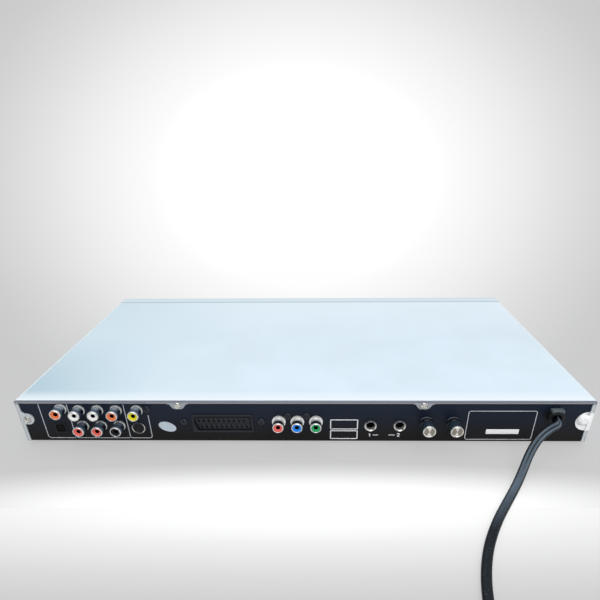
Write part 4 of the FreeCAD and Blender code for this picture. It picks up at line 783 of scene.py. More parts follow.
@dataclass
class Workbench:
    """Runs the two trees, and ties each piece to its body and CAD nodes."""

    frame: dict
    copies: Tree = field(default_factory=repeat_tree)
    lines: Tree = field(default_factory=stroke_tree)

    def place(self, piece: Piece, slot: str, body: str = "chassis", nodes: Sequence[str] = ()) -> None:
        """Rides a piece on its body and hides what it stands for.

        Args:
            piece: The finished piece.
            slot: Not used.
            body: The CAD body that it moves with.
            nodes: CAD nodes that it replaces.
        """
        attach(piece, body)
        if nodes:
            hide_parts(*nodes)
        LOG.info("%s rides on %s with %d faces", piece.name, body, len(piece.data.polygons))

    def dress(self, finish: Finish, *names: str) -> None:
        """Gives carried-over CAD nodes a finish.

        Args:
            finish: The finish.
            names: The nodes' names.
        """
        for name in names:
            node = self.frame["nodes"][name]
            if not node.material_slots:
                node.data.materials.append(finish.material())
            for held in node.material_slots:
                held.material = finish.material()

    def repeat(
        self,
        name: str,
        finish: Finish,
        draw: Callable[[Shape], object],
        places: Sequence[Spot],
        seed: int = 0,
    ) -> Piece:
        """Draws a unit once and sets a copy on every place.

        Args:
            name: The new piece's name.
            finish: What the copies are finished in.
            draw: Draws the unit about the origin, in millimetres.
            places: Where the copies go, in millimetres.
            seed: Turns each copy by up to a quarter about y, unless it is 0.

        Returns:
            The piece that holds every copy.
        """
        unit = drawn(name + "_unit", finish, draw)
        carrier = bpy.data.meshes.new(name + "_points")
        carrier.from_pydata([[part * MM for part in spot] for spot in places], [], [])
        values = {"Turn": math.pi / 2 if seed else 0.0, "Seed": seed, "Size": 1.0}
        made = self.copies.run(name, carrier, Unit=unit, Finish=finish.material(), **values)
        bpy.data.objects.remove(unit)
        return made

    def rings(
        self, name: str, finish: Finish, profile: Sequence[Point], places: Sequence[Spot], sides: int = 48
    ) -> Piece:
        """Sets a turned ring, with its closed profile of (radius, y), on every place."""
        draw = partial(turned, profile=profile, sides=sides, closed=True)
        return self.repeat(name, finish, draw, places)

    def stroke(
        self,
        name: str,
        finish: Finish,
        width: float,
        corner: float,
        *runs: Sequence[Point],
        closed: bool = False,
    ) -> None:
        """Prints lines on the rear panel.

        Args:
            name: The new piece's name.
            finish: The ink.
            width: The line's width.
            corner: The radius of its corners.
            runs: Each line's points as (x, z).
            closed: Whether each line ends where it starts.
        """
        proud = 0.05
        depth = PANEL + proud - width / 2
        points, edges = [], []
        for run in runs:
            first = len(points)
            points += [(x * MM, depth * MM, z * MM) for x, z in run]
            edges += [(k, k + 1) for k in range(first, len(points) - 1)]
            edges += [(len(points) - 1, first)] * closed
        carrier = bpy.data.meshes.new(name + "_path")
        carrier.from_pydata(points, edges, [])
        values = {"Width": width * MM, "Corner": corner * MM}
        self.place(self.lines.run(name, carrier, Finish=finish.material(), **values), "cover_paint")


# The camera, the mains cord and the studio


@dataclass
class PhotoCamera:
    """The photograph's camera, behind the player and above it."""

    place: Spot = (-12.8, 378.0, 224.4)
    pitch: float = 27.151
    yaw: float = 1.081
    roll: float = 0.557
    lens: float = 26.94
    shift_x: float = -0.0205
    shift_y: float = 0.0838

    def axes(self) -> tuple[Vector, Vector, Vector]:
        """Reads how the camera is turned.

        Returns:
            The picture's right, its up and the way that the camera looks.
        """
        pitch, yaw, roll = (math.radians(part) for part in (self.pitch, self.yaw, self.roll))
        flat = math.cos(pitch)
        ahead = Vector((math.sin(yaw) * flat, -math.cos(yaw) * flat, -math.sin(pitch)))
        right = Vector((-math.cos(yaw), -math.sin(yaw), 0.0))
        up = right.cross(ahead)
        side = right * math.cos(roll) - up * math.sin(roll)
        return side, right * math.sin(roll) + up * math.cos(roll), ahead

    def build(self) -> None:
        """Makes the camera and hands it to the scene."""
        side, top, ahead = self.axes()
        turn = Matrix((side, top, -ahead)).transposed().to_4x4()
        data = bpy.data.cameras.new("photo_camera")
        data.lens, data.sensor_width, data.sensor_fit = self.lens, 36.0, "HORIZONTAL"
        data.shift_x, data.shift_y = self.shift_x, self.shift_y
        data.clip_start, data.clip_end = 0.01, 20.0
        camera = show("photo_camera", data)
        camera.matrix_world = Matrix.Translation(Vector(self.place) * MM) @ turn
        bpy.context.scene.camera = camera


@dataclass
class MainsCord:
    """The flat twin mains lead, its put-away coil and its plug."""

    bench: Workbench
    width: float = 6.0
    height: float = 3.8
    centre: Point = (-54.0, 293.1)
    outer: float = 42.0
    pitch: float = 6.6
    inner_turns: float = 3.0
    climb_turns: float = 0.5
    outer_turns: float = 2.75
    points_a_turn: int = 16
    low: float = 1.95
    high: float = 6.15
    roll: float = 1.0
    roll_run: float = 90.0
    length: float = 1.498
    sides: int = 24
    visible: tuple[Spot, ...] = (
        (-186.5, 103.3, 28.0), (-186.5, 111.3, 28.0), (-177.0, 114.9, 25.4), (-168.0, 120.1, 20.6),
        (-160.6, 127.1, 13.0), (-154.0, 136.1, 5.9), (-146.2, 146.7, 2.5), (-135.2, 160.7, 1.95),
        (-121.8, 178.1, 2.0), (-109.4, 198.7, 1.95), (-101.2, 221.1, 2.0), (-97.4, 244.1, 1.95),
    )

    def coil_point(self, turn: float) -> Vector:
        """Gives the coil's line: in on the floor, up at the middle, out on the layer below it.

        Args:
            turn: Turns from the coil's start.

        Returns:
            The point in millimetres.
        """
        inner = self.outer - self.pitch * self.inner_turns
        if turn <= self.inner_turns:
            reach, height = self.outer - self.pitch * turn, self.low
        elif turn <= self.inner_turns + self.climb_turns:
            share = (turn - self.inner_turns) / self.climb_turns
            reach = inner - self.pitch * self.climb_turns * share * (1 - share)
            height = self.low + (self.high - self.low) * share * share * (3 - 2 * share)
        else:
            reach, height = inner + self.pitch * (turn - self.inner_turns - self.climb_turns), self.high
        reach /= (1 + math.cos(math.pi / self.points_a_turn) ** 2) / 2
        angle = math.pi - TURN * turn
        x, y = self.centre
        return Vector((x + reach * math.cos(angle), y + reach * math.sin(angle), height))

    def route(self) -> list[Vector]:
        """Lists the route's points.

        Returns:
            The points from the bushing through the coil to the plug, in millimetres.
        """
        total = self.inner_turns + self.climb_turns + self.outer_turns
        count = round(total * self.points_a_turn)
        coil = [self.coil_point(total * step / count) for step in range(count + 1)]
        way_in = (coil[1] - coil[0]).normalized()
        way_out = (coil[-1] - coil[-2]).normalized()
        lead_in = [coil[0] - way_in * 27, coil[0] - way_in * 6]
        first = coil[-1] + way_out * 22
        to_plug = [Vector((first.x + x, first.y + y, 6.8)) for x, y in ((18, -0.6), (34, -3.2))]
        return [*map(Vector, self.visible), *lead_in, *coil, coil[-1] + way_out * 8, first, *to_plug]

    def spline_points(self) -> list[Vector]:
        """Reads the points of the route's smooth line.

        Returns:
            Points along the NURBS line, in metres.
        """
        route = self.route()
        data = bpy.data.curves.new("mains_cord_line", "CURVE")
        data.dimensions, data.resolution_u = "3D", 6
        line = data.splines.new("NURBS")
        line.points.add(len(route) - 1)
        for point, spot in zip(line.points, route):
            point.co = (*(spot * MM), 1.0)
        line.order_u, line.use_endpoint_u = 3, True
        guide = show("mains_cord_line", data)
        mesh = bpy.data.meshes.new_from_object(guide)
        points = [vertex.co.copy() for vertex in mesh.vertices]
        bpy.data.objects.remove(guide)
        bpy.data.meshes.remove(mesh)
        return points

    def section(self) -> list[Point]:
        """Draws the twin lead's figure-eight section.

        Returns:
            Its points as (across, up), all round.
        """
        lobe, points = self.width / 4, []
        for step in range(self.sides):
            turn = TURN * step / self.sides
            across = math.cos(turn) * self.width / 2
            waist = 1 - 0.34 * math.exp(-((across / (lobe * 0.55)) ** 2))
            past = max(0.0, abs(across) - lobe) / lobe
            edge = math.sqrt(max(0.0, 1 - past**2))
            points.append((across, math.copysign(self.height / 2 * waist * edge, math.sin(turn))))
        return points

    def sweep(self, shape: Shape, path: Sequence[Vector]) -> None:
        """Sweeps the section along the line; the map holds how far each place is from the groove.

        Args:
            shape: The shape that it joins.
            path: The line's points, in metres.
        """
        layer = shape.loops.layers.uv.verify()
        section, sides, rings, gone = self.section(), self.sides, [], 0.0
        shares = [abs(math.cos(TURN * step / sides)) for step in range(sides)]
        for number, place in enumerate(path):
            before, after = path[max(0, number - 1)], path[min(len(path) - 1, number + 1)]
            gone += (place - before).length / MM
            ahead = (after - before).normalized()
            level = ahead.cross(Vector((0, 0, 1))).normalized()
            roll = self.roll * (1 - min(1.0, gone / self.roll_run)) ** 2
            side = level * math.cos(roll) + level.cross(ahead) * math.sin(roll)
            up = side.cross(ahead)
            ring = [place / MM + side * across + up * rise for across, rise in section]
            rings.append([shape.verts.new(corner) for corner in ring])
        for number, face in enumerate(bridge(shape, rings)):
            here, there = shares[number % sides], shares[(number + 1) % sides]
            for loop, share in zip(face.loops, (here, there, there, here)):
                loop[layer].uv = (share, 0.0)
        shape.faces.new(rings[0][::-1])
        shape.faces.new(rings[-1])

    def build(self) -> None:
        bench, path = self.bench, self.spline_points()
        cord = drawn("mains_cord_lead", Finishes.CORD, partial(self.sweep, path=path), 60.0)
        bench.place(cord, "cord_pvc", nodes=("mains_cord", "mains_cord_coil", "mains_cord_tail"))
        bench.dress(Finishes.PLUG, "plug_body")
        bench.dress(Finishes.NICKEL, "plug_pins")
        tuple(part * MM for part in self.visible[0])
        [tuple(spot) for spot in path]


@dataclass
class Studio:
    """The paper floor, the surrounding light and its soft lamps.

    The background's white glow is painted as if thrown from one fixed point, the place that the
    photograph was taken from, so floor and surround meet without a line.
    """

    view: PhotoCamera
    reach: float = 7.0
    glow: Point = (-0.0274, 0.3904)
    squash: float = 1.27
    world: float = 0.50
    paper_grey: Colour = (205, 205, 205)
    low_light: Colour = (190, 192, 196)
    high_light: Colour = (250, 252, 255)
    room: Colour = (52, 60, 74)
    afar: Point = (-0.40, -0.08)
    own_light: float = 0.70
    near_edge: Point = (0.100, 0.118)
    near: Point = (-0.0274, -0.3512)
    near_squash: float = 0.100
    near_span: Point = (0.1114, -0.2049)
    near_steps: tuple[tuple[float, int], ...] = (
        (0.028, 203), (0.070, 214), (0.099, 224), (0.127, 235), (0.155, 244), (0.190, 255), (0.450, 255),
        (0.507, 251), (0.613, 238), (0.718, 229), (0.824, 219), (0.930, 212), (1.0, 207),
    )
    glow_steps: tuple[tuple[float, int], ...] = (
        (0.312, 255), (0.334, 252), (0.401, 246), (0.490, 237), (0.579, 226), (0.655, 217), (0.748, 207),
        (0.808, 203),
    )

    def offset(self, tree: Nodes, way: Socket, centre: Point) -> list[Socket]:
        """Measures a direction from a centre, as the photograph shows it.

        Args:
            tree: The nodes that it joins.
            way: The direction from the fixed point.
            centre: The centre, across and up.

        Returns:
            How far across and how far up it is.
        """
        axes = self.view.axes()
        *parts, depth = (tree.vector("DOT_PRODUCT", way, tuple(axis), "Value") for axis in axes)
        depth = tree.math("MAXIMUM", depth, 0.02)
        shares = [tree.math("DIVIDE", part, depth) for part in parts]
        return [tree.math("SUBTRACT", share, at) for share, at in zip(shares, centre)]

    def far_off(self, tree: Nodes, across: object, up: object) -> Socket:
        """Gives the length of an offset."""
        both = tree.add("ShaderNodeCombineXYZ", X=across, Y=up).outputs[0]
        return tree.vector("LENGTH", both, output="Value")

    def glow_colour(self, tree: Nodes, way: Socket) -> Socket:
        """Builds the grey that whitens towards the glow.

        Args:
            tree: The nodes that it joins.
            way: The direction from the fixed point.

        Returns:
            The colour's socket.
        """
        across, rise = self.offset(tree, way, self.glow)
        away = self.far_off(tree, across, tree.math("MULTIPLY", rise, self.squash))
        return tree.ramp(self.glow_steps, away)

    def near_colour(self, tree: Nodes, way: Socket) -> Socket:
        """Builds the wide white patch of painted light on the floor before the player.

        Args:
            tree: The nodes that it joins.
            way: The direction from the fixed point.

        Returns:
            The colour's socket.
        """
        across, rise = self.offset(tree, way, self.near)
        away = self.far_off(tree, tree.math("MULTIPLY", across, self.near_squash), rise)
        away = tree.math("MULTIPLY", tree.math("SIGN", rise), away)
        return tree.ramp(self.near_steps, tree.span(away, 0.0, 1.0, *self.near_span))

    def seen(self, tree: Nodes) -> Socket:
        """Tells the rays that show the background from those that light the player.

        Args:
            tree: The nodes that it joins.

        Returns:
            The socket that is 1 for rays that show it.
        """
        path = tree.add("ShaderNodeLightPath").outputs
        shown = tree.math("ADD", path["Is Camera Ray"], path["Is Glossy Ray"])
        return tree.math("ADD", shown, path["Is Transmission Ray"], clamp=True)

    def paper(self) -> bpy.types.Material:
        """Builds the floor's paper: a grey band behind the panel's foot, white before it.

        Returns:
            The material.
        """
        made = bpy.data.materials.new("studio_paper")
        made.use_nodes = True
        tree = Nodes(made.node_tree)
        shader = made.node_tree.nodes["Principled BSDF"]
        tree.give(shader, "Roughness", 0.9)
        tree.give(shader, "Specular IOR Level", 0.0)
        where = tree.add("ShaderNodeTexCoord").outputs["Object"]
        depth = tree.split(where)[Y]
        way = tree.vector("SUBTRACT", where, tuple(part * MM for part in self.view.place))
        front = tree.span(depth, 0.0, 1.0, *self.near_edge)
        shown = tree.blend(front, self.glow_colour(tree, way), self.near_colour(tree, way))
        # For rays that see it, the paper glows with its painted colour: fully far off, and by own_light's
        # share near the player, which thins the player's shadow.
        afar = tree.math("MULTIPLY", self.seen(tree), tree.span(depth, 1.0, self.own_light, *self.afar))
        lit = tree.blend(self.seen(tree), linear(self.paper_grey), shown)
        tree.give(shader, "Base Color", tree.blend(afar, lit, BLACK))
        tree.give(shader, "Emission Color", shown)
        tree.give(shader, "Emission Strength", afar)
        return made

    def build(self) -> None:
        """Lays the paper, hangs the lamps and fills the world."""
        far = self.reach
        mesh = bpy.data.meshes.new("studio_floor")
        corners = [(-far, -far, 0.0), (far, -far, 0.0), (far, far, 0.0), (-far, far, 0.0)]
        mesh.from_pydata(corners, [], [(0, 1, 2, 3)])
        mesh.materials.append(self.paper())
        show("studio_floor", mesh)
        self.lamp("overhead_lamp", (0.0, 0.15, 1.5), (0.0, 0.0, 0.0), (1.7, 1.2), 9.0)
        self.lamp("rear_lamp", (-0.15, 1.25, 1.15), (0.0, 0.1, 0.0), (1.5, 0.8), 11.5)
        self.lamp("side_lamp", (-1.3, 0.5, 0.7), (0.0, 0.0, 0.0), (0.7, 0.9), 2.0)
        self.surround()

    def lamp(self, name: str, place: Spot, aim: Spot, size: Point, power: float) -> None:
        """Adds a soft lamp.

        Args:
            name: The lamp's name.
            place: Where it hangs, in metres.
            aim: What it points at, in metres.
            size: Its width and height in metres.
            power: Its power in watts.
        """
        data = bpy.data.lights.new(name, "AREA")
        data.shape, data.size, data.size_y, data.energy = "RECTANGLE", size[0], size[1], power
        lamp = show(name, data)
        lamp.location = place
        lamp.rotation_euler = (Vector(aim) - Vector(place)).to_track_quat("-Z", "Y").to_euler()

    def surround(self) -> None:
        """Fills the world: the painted glow where it is seen, plain light for everything else.

        Bright metal mirrors the darker room behind the camera as well.
        """
        world = bpy.data.worlds.new("studio_world")
        bpy.context.scene.world = world
        world.use_nodes = True
        tree = Nodes(world.node_tree)
        ground = world.node_tree.nodes["Background"]
        where = tree.add("ShaderNodeTexCoord").outputs["Generated"]
        _, ahead, height = tree.split(where)
        sky = tree.span(height, 0.0, 1.0, -0.1, 0.6)
        light = tree.blend(sky, linear(self.low_light), linear(self.high_light))
        seen, behind = self.seen(tree), tree.span(ahead, 0.0, 1.0, -0.10, 0.40)
        glossy = tree.add("ShaderNodeLightPath").outputs["Is Glossy Ray"]
        mirrored = tree.math("MULTIPLY", glossy, behind)
        paper = tree.blend(mirrored, self.glow_colour(tree, where), linear(self.room))
        tree.give(ground, "Color", tree.blend(seen, light, paper))
        tree.give(ground, "Strength", tree.span(seen, self.world, 1.0))


# The player's sub-assemblies


@dataclass
class Casing:
    """The cover, the pan, the rear panel and the feet."""

    bench: Workbench

    def build(self) -> None:
        """Gives the sheet metal and the feet their finishes."""
        self.bench.dress(Finishes.COVER, "top_cover")
        self.bench.dress(Finishes.STEEL, "chassis_pan")
        self.bench.dress(Finishes.PANEL_BLACK, "rear_panel")
        self.bench.dress(Finishes.RUBBER, "rubber_feet")


@dataclass
class Fasteners:
    """The bright screws of the cover and the black ones of the sockets."""

    bench: Workbench
    radius: float = 2.7
    height: float = 1.6
    cross: float = 1.75
    small_cross: float = 1.575
    deep: float = 0.95
    cover_spots: tuple[Spot, ...] = (
        (208.8, LIP, 24.4), (-208.8, LIP, 24.4), (92.8, LIP, 37.0), (-89.4, LIP, 37.0),
    )
    jack_spots: tuple[Spot, ...] = (
        (116.6, PANEL, 33.4), (31.4, PANEL, 22.3), (90.0, PANEL, 22.3), (11.2, PANEL, 27.35),
        (-2.8, PANEL, 27.35),
    )

    def head(self, shape: Shape, cross: float) -> None:
        """Draws a pan head with a cross recess, standing on y = 0 and facing +y.

        Args:
            shape: The shape that it joins.
            cross: Half the recess's length.
        """
        sides, rings = 48, 13
        rim, arm = self.height * 0.42, cross * 0.27

        def level(x: float, z: float) -> float:
            """Gives the head's surface over one place.

            Args:
                x: How far it is to the side.
                z: How high it is.

            Returns:
                The surface's depth.
            """
            share = math.hypot(x, z) / self.radius
            dome = rim + (self.height - rim) * math.sqrt(max(0.0, 1 - share**2.6))
            across, along = min(abs(x), abs(z)), max(abs(x), abs(z))
            wall = min(1.0, max(0.0, (arm - across) / 0.16 + 0.5))
            wall *= min(1.0, max(0.0, (cross - along) / 0.3 + 0.5))
            return dome - self.deep * wall * (1 - 0.35 * share)

        reaches = [self.radius * (ring / rings) ** 0.85 for ring in range(1, rings + 1)]
        edge = sheet(shape, (0.0, 0.0), reaches, sides, level)
        foot = [shape.verts.new((corner.co.x * 1.01, 0.0, corner.co.z * 1.01)) for corner in edge]
        bridge(shape, [edge, foot])
        fan(shape, shape.verts.new((0.0, 0.0, 0.0)), foot[::-1])

    def build(self) -> None:
        """Sets every screw."""
        wide = partial(self.head, cross=self.cross)
        small = partial(self.head, cross=self.small_cross)
        bright = self.bench.repeat("cover_screw_heads", Finishes.NICKEL_SCREW, wide, self.cover_spots, 4)
        self.bench.place(bright, "screw_nickel", nodes=("cover_screws",))
        dark = self.bench.repeat("socket_screw_heads", Finishes.BLACK_SCREW, small, self.jack_spots, 7)
        self.bench.place(dark, "screw_black", nodes=("jack_screws",))


@dataclass
class PhonoSockets:
    """The plated barrels and their coloured inserts."""

    bench: Workbench
    barrel: float = 4.15
    bore: float = 3.45
    tip: float = 110.3
    flange: float = 4.55
    wide_flange: float = 5.3
    hole: float = 1.62
    insert_face: float = 109.75
    insert_depth: float = 101.4
    audio: tuple[Spot, ...] = tuple((x, 0.0, z) for z in (32.2, 18.2) for x in (168.0, 154.0, 140.0))
    coaxial: Spot = (181.5, 0.0, 33.5)
    video: Spot = (124.3, 0.0, 32.2)
    trio: tuple[Spot, ...] = ((18.2, 0.0, 22.1), (4.2, 0.0, 22.1), (-9.8, 0.0, 22.1))

    def barrel_profile(self, flange: float) -> list[Point]:
        """Draws a barrel's profile: flange, neck groove, tube with a rolled mouth, and its bore.

        Args:
            flange: The flange's radius.

        Returns:
            Its points as (radius, y).
        """
        outer, bore, tip = self.barrel, self.bore, self.tip
        return [
            (bore, PANEL - 0.8), (flange - 0.05, PANEL - 0.8), (flange - 0.05, PANEL + 0.7),
            (flange - 0.16, PANEL + 0.95), (flange - 0.4, PANEL + 1.08), (outer - 0.28, PANEL + 1.1),
            (outer - 0.34, PANEL + 1.5), (outer - 0.05, PANEL + 1.75), (outer, PANEL + 2.0),
            (outer, tip - 0.7), (outer - 0.1, tip - 0.32), (outer - 0.32, tip - 0.08),
            (bore + 0.22, tip), (bore + 0.05, tip - 0.12), (bore, tip - 0.4),
        ]

    def insert_profile(self) -> list[Point]:
        """Draws a coloured insert's profile: a dished face round the hole, on a long sleeve.

        Returns:
            Its points as (radius, y).
        """
        face, hole, edge, deep = self.insert_face, self.hole, self.bore - 0.02, self.insert_depth
        return [
            (hole + 0.3, face - 1.9), (hole, face - 1.7), (hole, face - 0.75), (hole + 0.12, face - 0.62),
            (edge - 0.5, face - 0.05), (edge - 0.25, face), (edge, face - 0.12), (edge, deep),
            (edge - 0.9, deep), (edge - 0.9, face - 1.9),
        ]

    def shade_liner(self, shape: Shape) -> None:
        """Draws a black liner in an insert's hole, shut behind: a dark sheet that paints the shade in the
        hole.

        Args:
            shape: The shape that it joins.
        """
        face, hole = self.insert_face, self.hole
        profile = [
            (0.0, face - 5.2), (hole - 0.22, face - 5.0), (hole - 0.16, face - 0.86),
            (hole - 0.02, face - 0.70), (hole + 0.04, face - 0.80), (hole + 0.04, face - 5.6),
            (0.0, face - 5.6),
        ]
        turned(shape, profile, sides=32)

    def build(self) -> None:
        """Sets the barrels and the inserts in their rows."""
        bench, audio, trio = self.bench, self.audio, self.trio
        rows = (*audio, self.coaxial, self.video)
        barrels = bench.rings("phono_barrels", Finishes.BARREL, self.barrel_profile(self.flange), rows)
        bench.place(barrels, "nickel", nodes=("phono_shells",))
        profile = self.barrel_profile(self.wide_flange)
        wide = bench.rings("component_barrels", Finishes.WIDE_BARREL, profile, trio)
        bench.place(wide, "nickel", nodes=("component_shells",))
        cores = bench.repeat("socket_cores", Finishes.HOLE, self.shade_liner, (*rows, *trio))
        bench.place(cores, "moulding_black")
        sets = (
            ("white", Finishes.WHITE, audio[:2], ("white_inserts",)),
            ("orange", Finishes.ORANGE, (audio[2], self.coaxial), ("orange_inserts",)),
            ("red", Finishes.RED, (*audio[3:5], trio[0]), ("red_inserts",)),
            ("black", Finishes.MOULDING, audio[5:], ()),
            ("yellow", Finishes.YELLOW, (self.video,), ("yellow_insert",)),
            ("blue", Finishes.BLUE, trio[1:2], ("blue_insert",)),
            ("green", Finishes.GREEN, trio[2:], ("green_insert",)),
        )
        for name, finish, places, nodes in sets:
            made = bench.rings(f"{name}_rings", finish, self.insert_profile(), places)
            bench.place(made, finish.name, nodes=nodes)


@dataclass
class RoundVideoSocket:
    """The four-pole video socket: a plated ring round a black face."""

    bench: Workbench
    centre: Point = (125.7, 16.3)
    outer: float = 5.25
    inner: float = 4.35
    hole: float = 0.62
    poles: tuple[Point, ...] = ((-1.7, 1.0), (1.7, 1.0), (-1.2, -1.35), (1.2, -1.35))

    def build(self) -> None:
        """Makes the ring, the contacts' collars and the key."""
        bench, outer, inner, hole, (x, z) = self.bench, self.outer, self.inner, self.hole, self.centre
        profile = [
            (inner, PANEL - 0.7), (outer - 0.02, PANEL - 0.7), (outer - 0.02, PANEL + 0.5),
            (outer - 0.2, PANEL + 0.78), (inner + 0.4, PANEL + 0.88), (inner + 0.1, PANEL + 0.74),
            (inner, PANEL + 0.45),
        ]
        draw = partial(turned, profile=profile, centre=self.centre, sides=64, closed=True)
        ring = drawn("round_socket_ring", Finishes.SHADED, draw)
        bench.place(ring, "nickel", nodes=("svideo_ring",))
        low, high = PANEL - 0.3, PANEL + 0.12
        eye = [(hole, low), (hole + 0.22, low), (hole + 0.2, high), (hole, high)]
        spots = [(x + dx, 0.0, z + dz) for dx, dz in self.poles]
        bench.place(bench.rings("round_socket_eyes", Finishes.MOULDING, eye, spots, 20), "moulding_black")
        key = (rounded(x - 0.75, z - 3.55, x + 0.75, z - 2.75, 0.2), PANEL - 0.2, PANEL + 0.25, 0.08)
        bench.place(plates("round_socket_key", Finishes.MOULDING, key), "moulding_black")


@dataclass
class OpticalSocket:
    """The dark square optical socket below the orange coaxial one."""

    bench: Workbench
    centre: Point = (185.8, 15.9)
    half: float = 4.4
    wall: float = 1.0
    proud: float = 0.35

    def build(self) -> None:
        """Makes the square collar and its shut door."""
        (x, z), half, thin, face = self.centre, self.half, self.half - self.wall, PANEL + self.proud
        outer = rounded(x - half, z - half, x + half, z + half, 0.5)
        inner = rounded(x - thin, z - thin, x + thin, z + thin, 1.1)
        levels = ((outer, PANEL - 5.0), (outer, face), (inner, face), (inner, PANEL - 0.5))
        collar = drawn("optical_collar", Finishes.MOULDING, partial(stacked, levels=levels))
        self.bench.place(collar, "moulding_black")
        leaf = (rounded(x - 2.9, z - 2.9, x + 2.9, z + 2.9, 0.9), PANEL - 0.5, PANEL - 0.05, 0.18)
        rib = (rounded(x - 2.3, z + 1.9, x + 2.3, z + 2.4, 0.2), PANEL - 0.1, PANEL + 0.12, 0.08)
        self.bench.place(plates("optical_door", Finishes.HOLE, leaf, rib), "moulding_black")


@dataclass
class ScartSocket:
    """The wide 21-way socket: a shroud, a moat and a block with two staggered rows of slots."""

    bench: Workbench
    centre: Point = (60.7, 20.4)
    half_width: float = 23.2
    half_height: float = 8.1
    wall: float = 1.7
    moat: float = 1.3
    key: Point = (2.4, 6.0)
    face: float = 102.3
    block_face: float = 101.2
    slot_pitch: float = 3.81
    slot: Point = (1.7, 3.4)
    slot_depth: float = 3.4
    row_rise: float = 2.7
    stagger: float = 0.95

    def keyed(self, inset: float, off: float) -> list[Point]:
        """Draws the socket's outline with its slanted lower corner.

        Args:
            inset: How far it lies inside the shroud's edge.
            off: A small cut at the other corners.

        Returns:
            Its points as (x, z).
        """
        x, z = self.centre
        wide, high = self.half_width - inset, self.half_height - inset
        key_x, key_z = self.key if inset else (off, off)
        return [
            (x + wide, z + high - off), (x + wide - off, z + high), (x - wide + off, z + high),
            (x - wide, z + high - off), (x - wide, z - high + off), (x - wide + off, z - high),
            (x + wide - key_x, z - high), (x + wide, z - high + key_z),
        ]

    def slots(self, side: int) -> list[float]:
        """Gives the middles of a row's ten slots, for the upper row's 1 or the lower row's -1."""
        return [self.centre[0] + side * self.stagger + self.slot_pitch * (k - 4.5) for k in range(10)]

    def half_block(self, shape: Shape, side: int) -> None:
        """Draws the upper or lower half of the inner block, with its row of ten slots.

        Args:
            shape: The shape that it joins.
            side: 1 for the upper half, -1 for the lower one.
        """
        (x, z), inset = self.centre, self.wall + self.moat
        wide, tall = self.half_width - inset, self.half_height - inset
        slot_x, slot_z = self.slot[0] / 2, self.slot[1] / 2
        left = x + wide - (self.key[0] if side < 0 else 0.0)
        cuts = [x - wide, *(edge for at in self.slots(side) for edge in (at - slot_x, at + slot_x)), left]
        low, high = sorted((z + side * 0.12, z + side * tall))
        row = z + side * self.row_rise
        levels = [low, row - slot_z, row + slot_z, high]
        front, back = self.block_face, PANEL - 3.9
        for column, (start, end) in enumerate(zip(cuts, cuts[1:])):
            for tier, (under, over) in enumerate(zip(levels, levels[1:])):
                corners = ((start, under), (end, under), (end, over), (start, over))
                if column % 2 == 1 and tier == 1:
                    stacked(shape, ((corners, front), (corners, front - self.slot_depth)), shut=False)
                else:
                    shape.faces.new([shape.verts.new((px, front, pz)) for px, pz in corners])
        rim = [(at, low) for at in cuts] + [(left, level) for level in levels[1:]]
        rim += [(at, high) for at in cuts[-2::-1]] + [(cuts[0], level) for level in levels[-2:0:-1]]
        stacked(shape, ((rim, front), (rim, back)), shut=False)

    def block(self, shape: Shape) -> None:
        """Draws both halves of the inner block."""
        for side in (1, -1):
            self.half_block(shape, side)

    def contact(self, shape: Shape) -> None:
        """Draws one contact with a bent lip.

        Args:
            shape: The shape that it joins.
        """
        deep = self.block_face
        slab(shape, rounded(-0.62, -1.3, -0.28, 1.3, 0.1, 2), deep - 3.2, deep - 0.9, 0.06)
        slab(shape, rounded(-0.62, -0.7, 0.1, 0.7, 0.1, 2), deep - 1.6, deep - 0.8, 0.06)

    def build(self) -> None:
        """Makes the shroud and the block, and sets the spring contacts in the slots."""
        bench, outer, inner = self.bench, self.face, self.wall
        steps = (
            (0.0, 0.8, PANEL - 1.2), (0.0, 0.8, outer - 0.35), (0.28, 0.8, outer),
            (inner - 0.25, 0.5, outer), (inner, 0.5, outer - 0.3), (inner, 0.5, PANEL - 4.0),
        )
        levels = [(self.keyed(inset, off), depth) for inset, off, depth in steps]
        shroud = drawn("wide_socket_shroud", Finishes.WIDE_SOCKET, partial(stacked, levels=levels))
        bench.place(shroud, "moulding_black", nodes=("scart_socket",))
        block = drawn("wide_socket_block", Finishes.WIDE_SOCKET, self.block)
        bench.place(block, "moulding_black")
        z, rise = self.centre[1], self.row_rise
        rows = [(x, 0.0, z + side * rise) for side in (1, -1) for x in self.slots(side)]
        bench.place(bench.repeat("wide_socket_contacts", Finishes.CONTACT, self.contact, rows), "nickel")


@dataclass
class MicJacks:
    """The bright ferrules round the two microphone jacks."""

    bench: Workbench
    spots: tuple[Spot, ...] = ((-50.9, 0.0, 19.2), (-72.8, 0.0, 19.2))
    outer: float = 4.75
    bore: float = 3.26
    tip: float = 103.7

    def build(self) -> None:
        """Sets both ferrules, with their chamfered mouths."""
        outer, bore, tip = self.outer, self.bore, self.tip
        profile = [
            (bore, PANEL - 0.8), (outer - 0.02, PANEL - 0.8), (outer - 0.02, tip - 0.75),
            (outer - 0.14, tip - 0.35), (outer - 0.42, tip - 0.06), (outer - 0.7, tip),
            (bore + 0.22, tip - 0.42), (bore, tip - 0.9),
        ]
        made = self.bench.rings("jack_ferrules", Finishes.FERRULE, profile, self.spots, 64)
        self.bench.place(made, "nickel", nodes=("mic_ferrules",))
        self.bench.dress(Finishes.MOULDING, "mic_sockets", "control_pots")


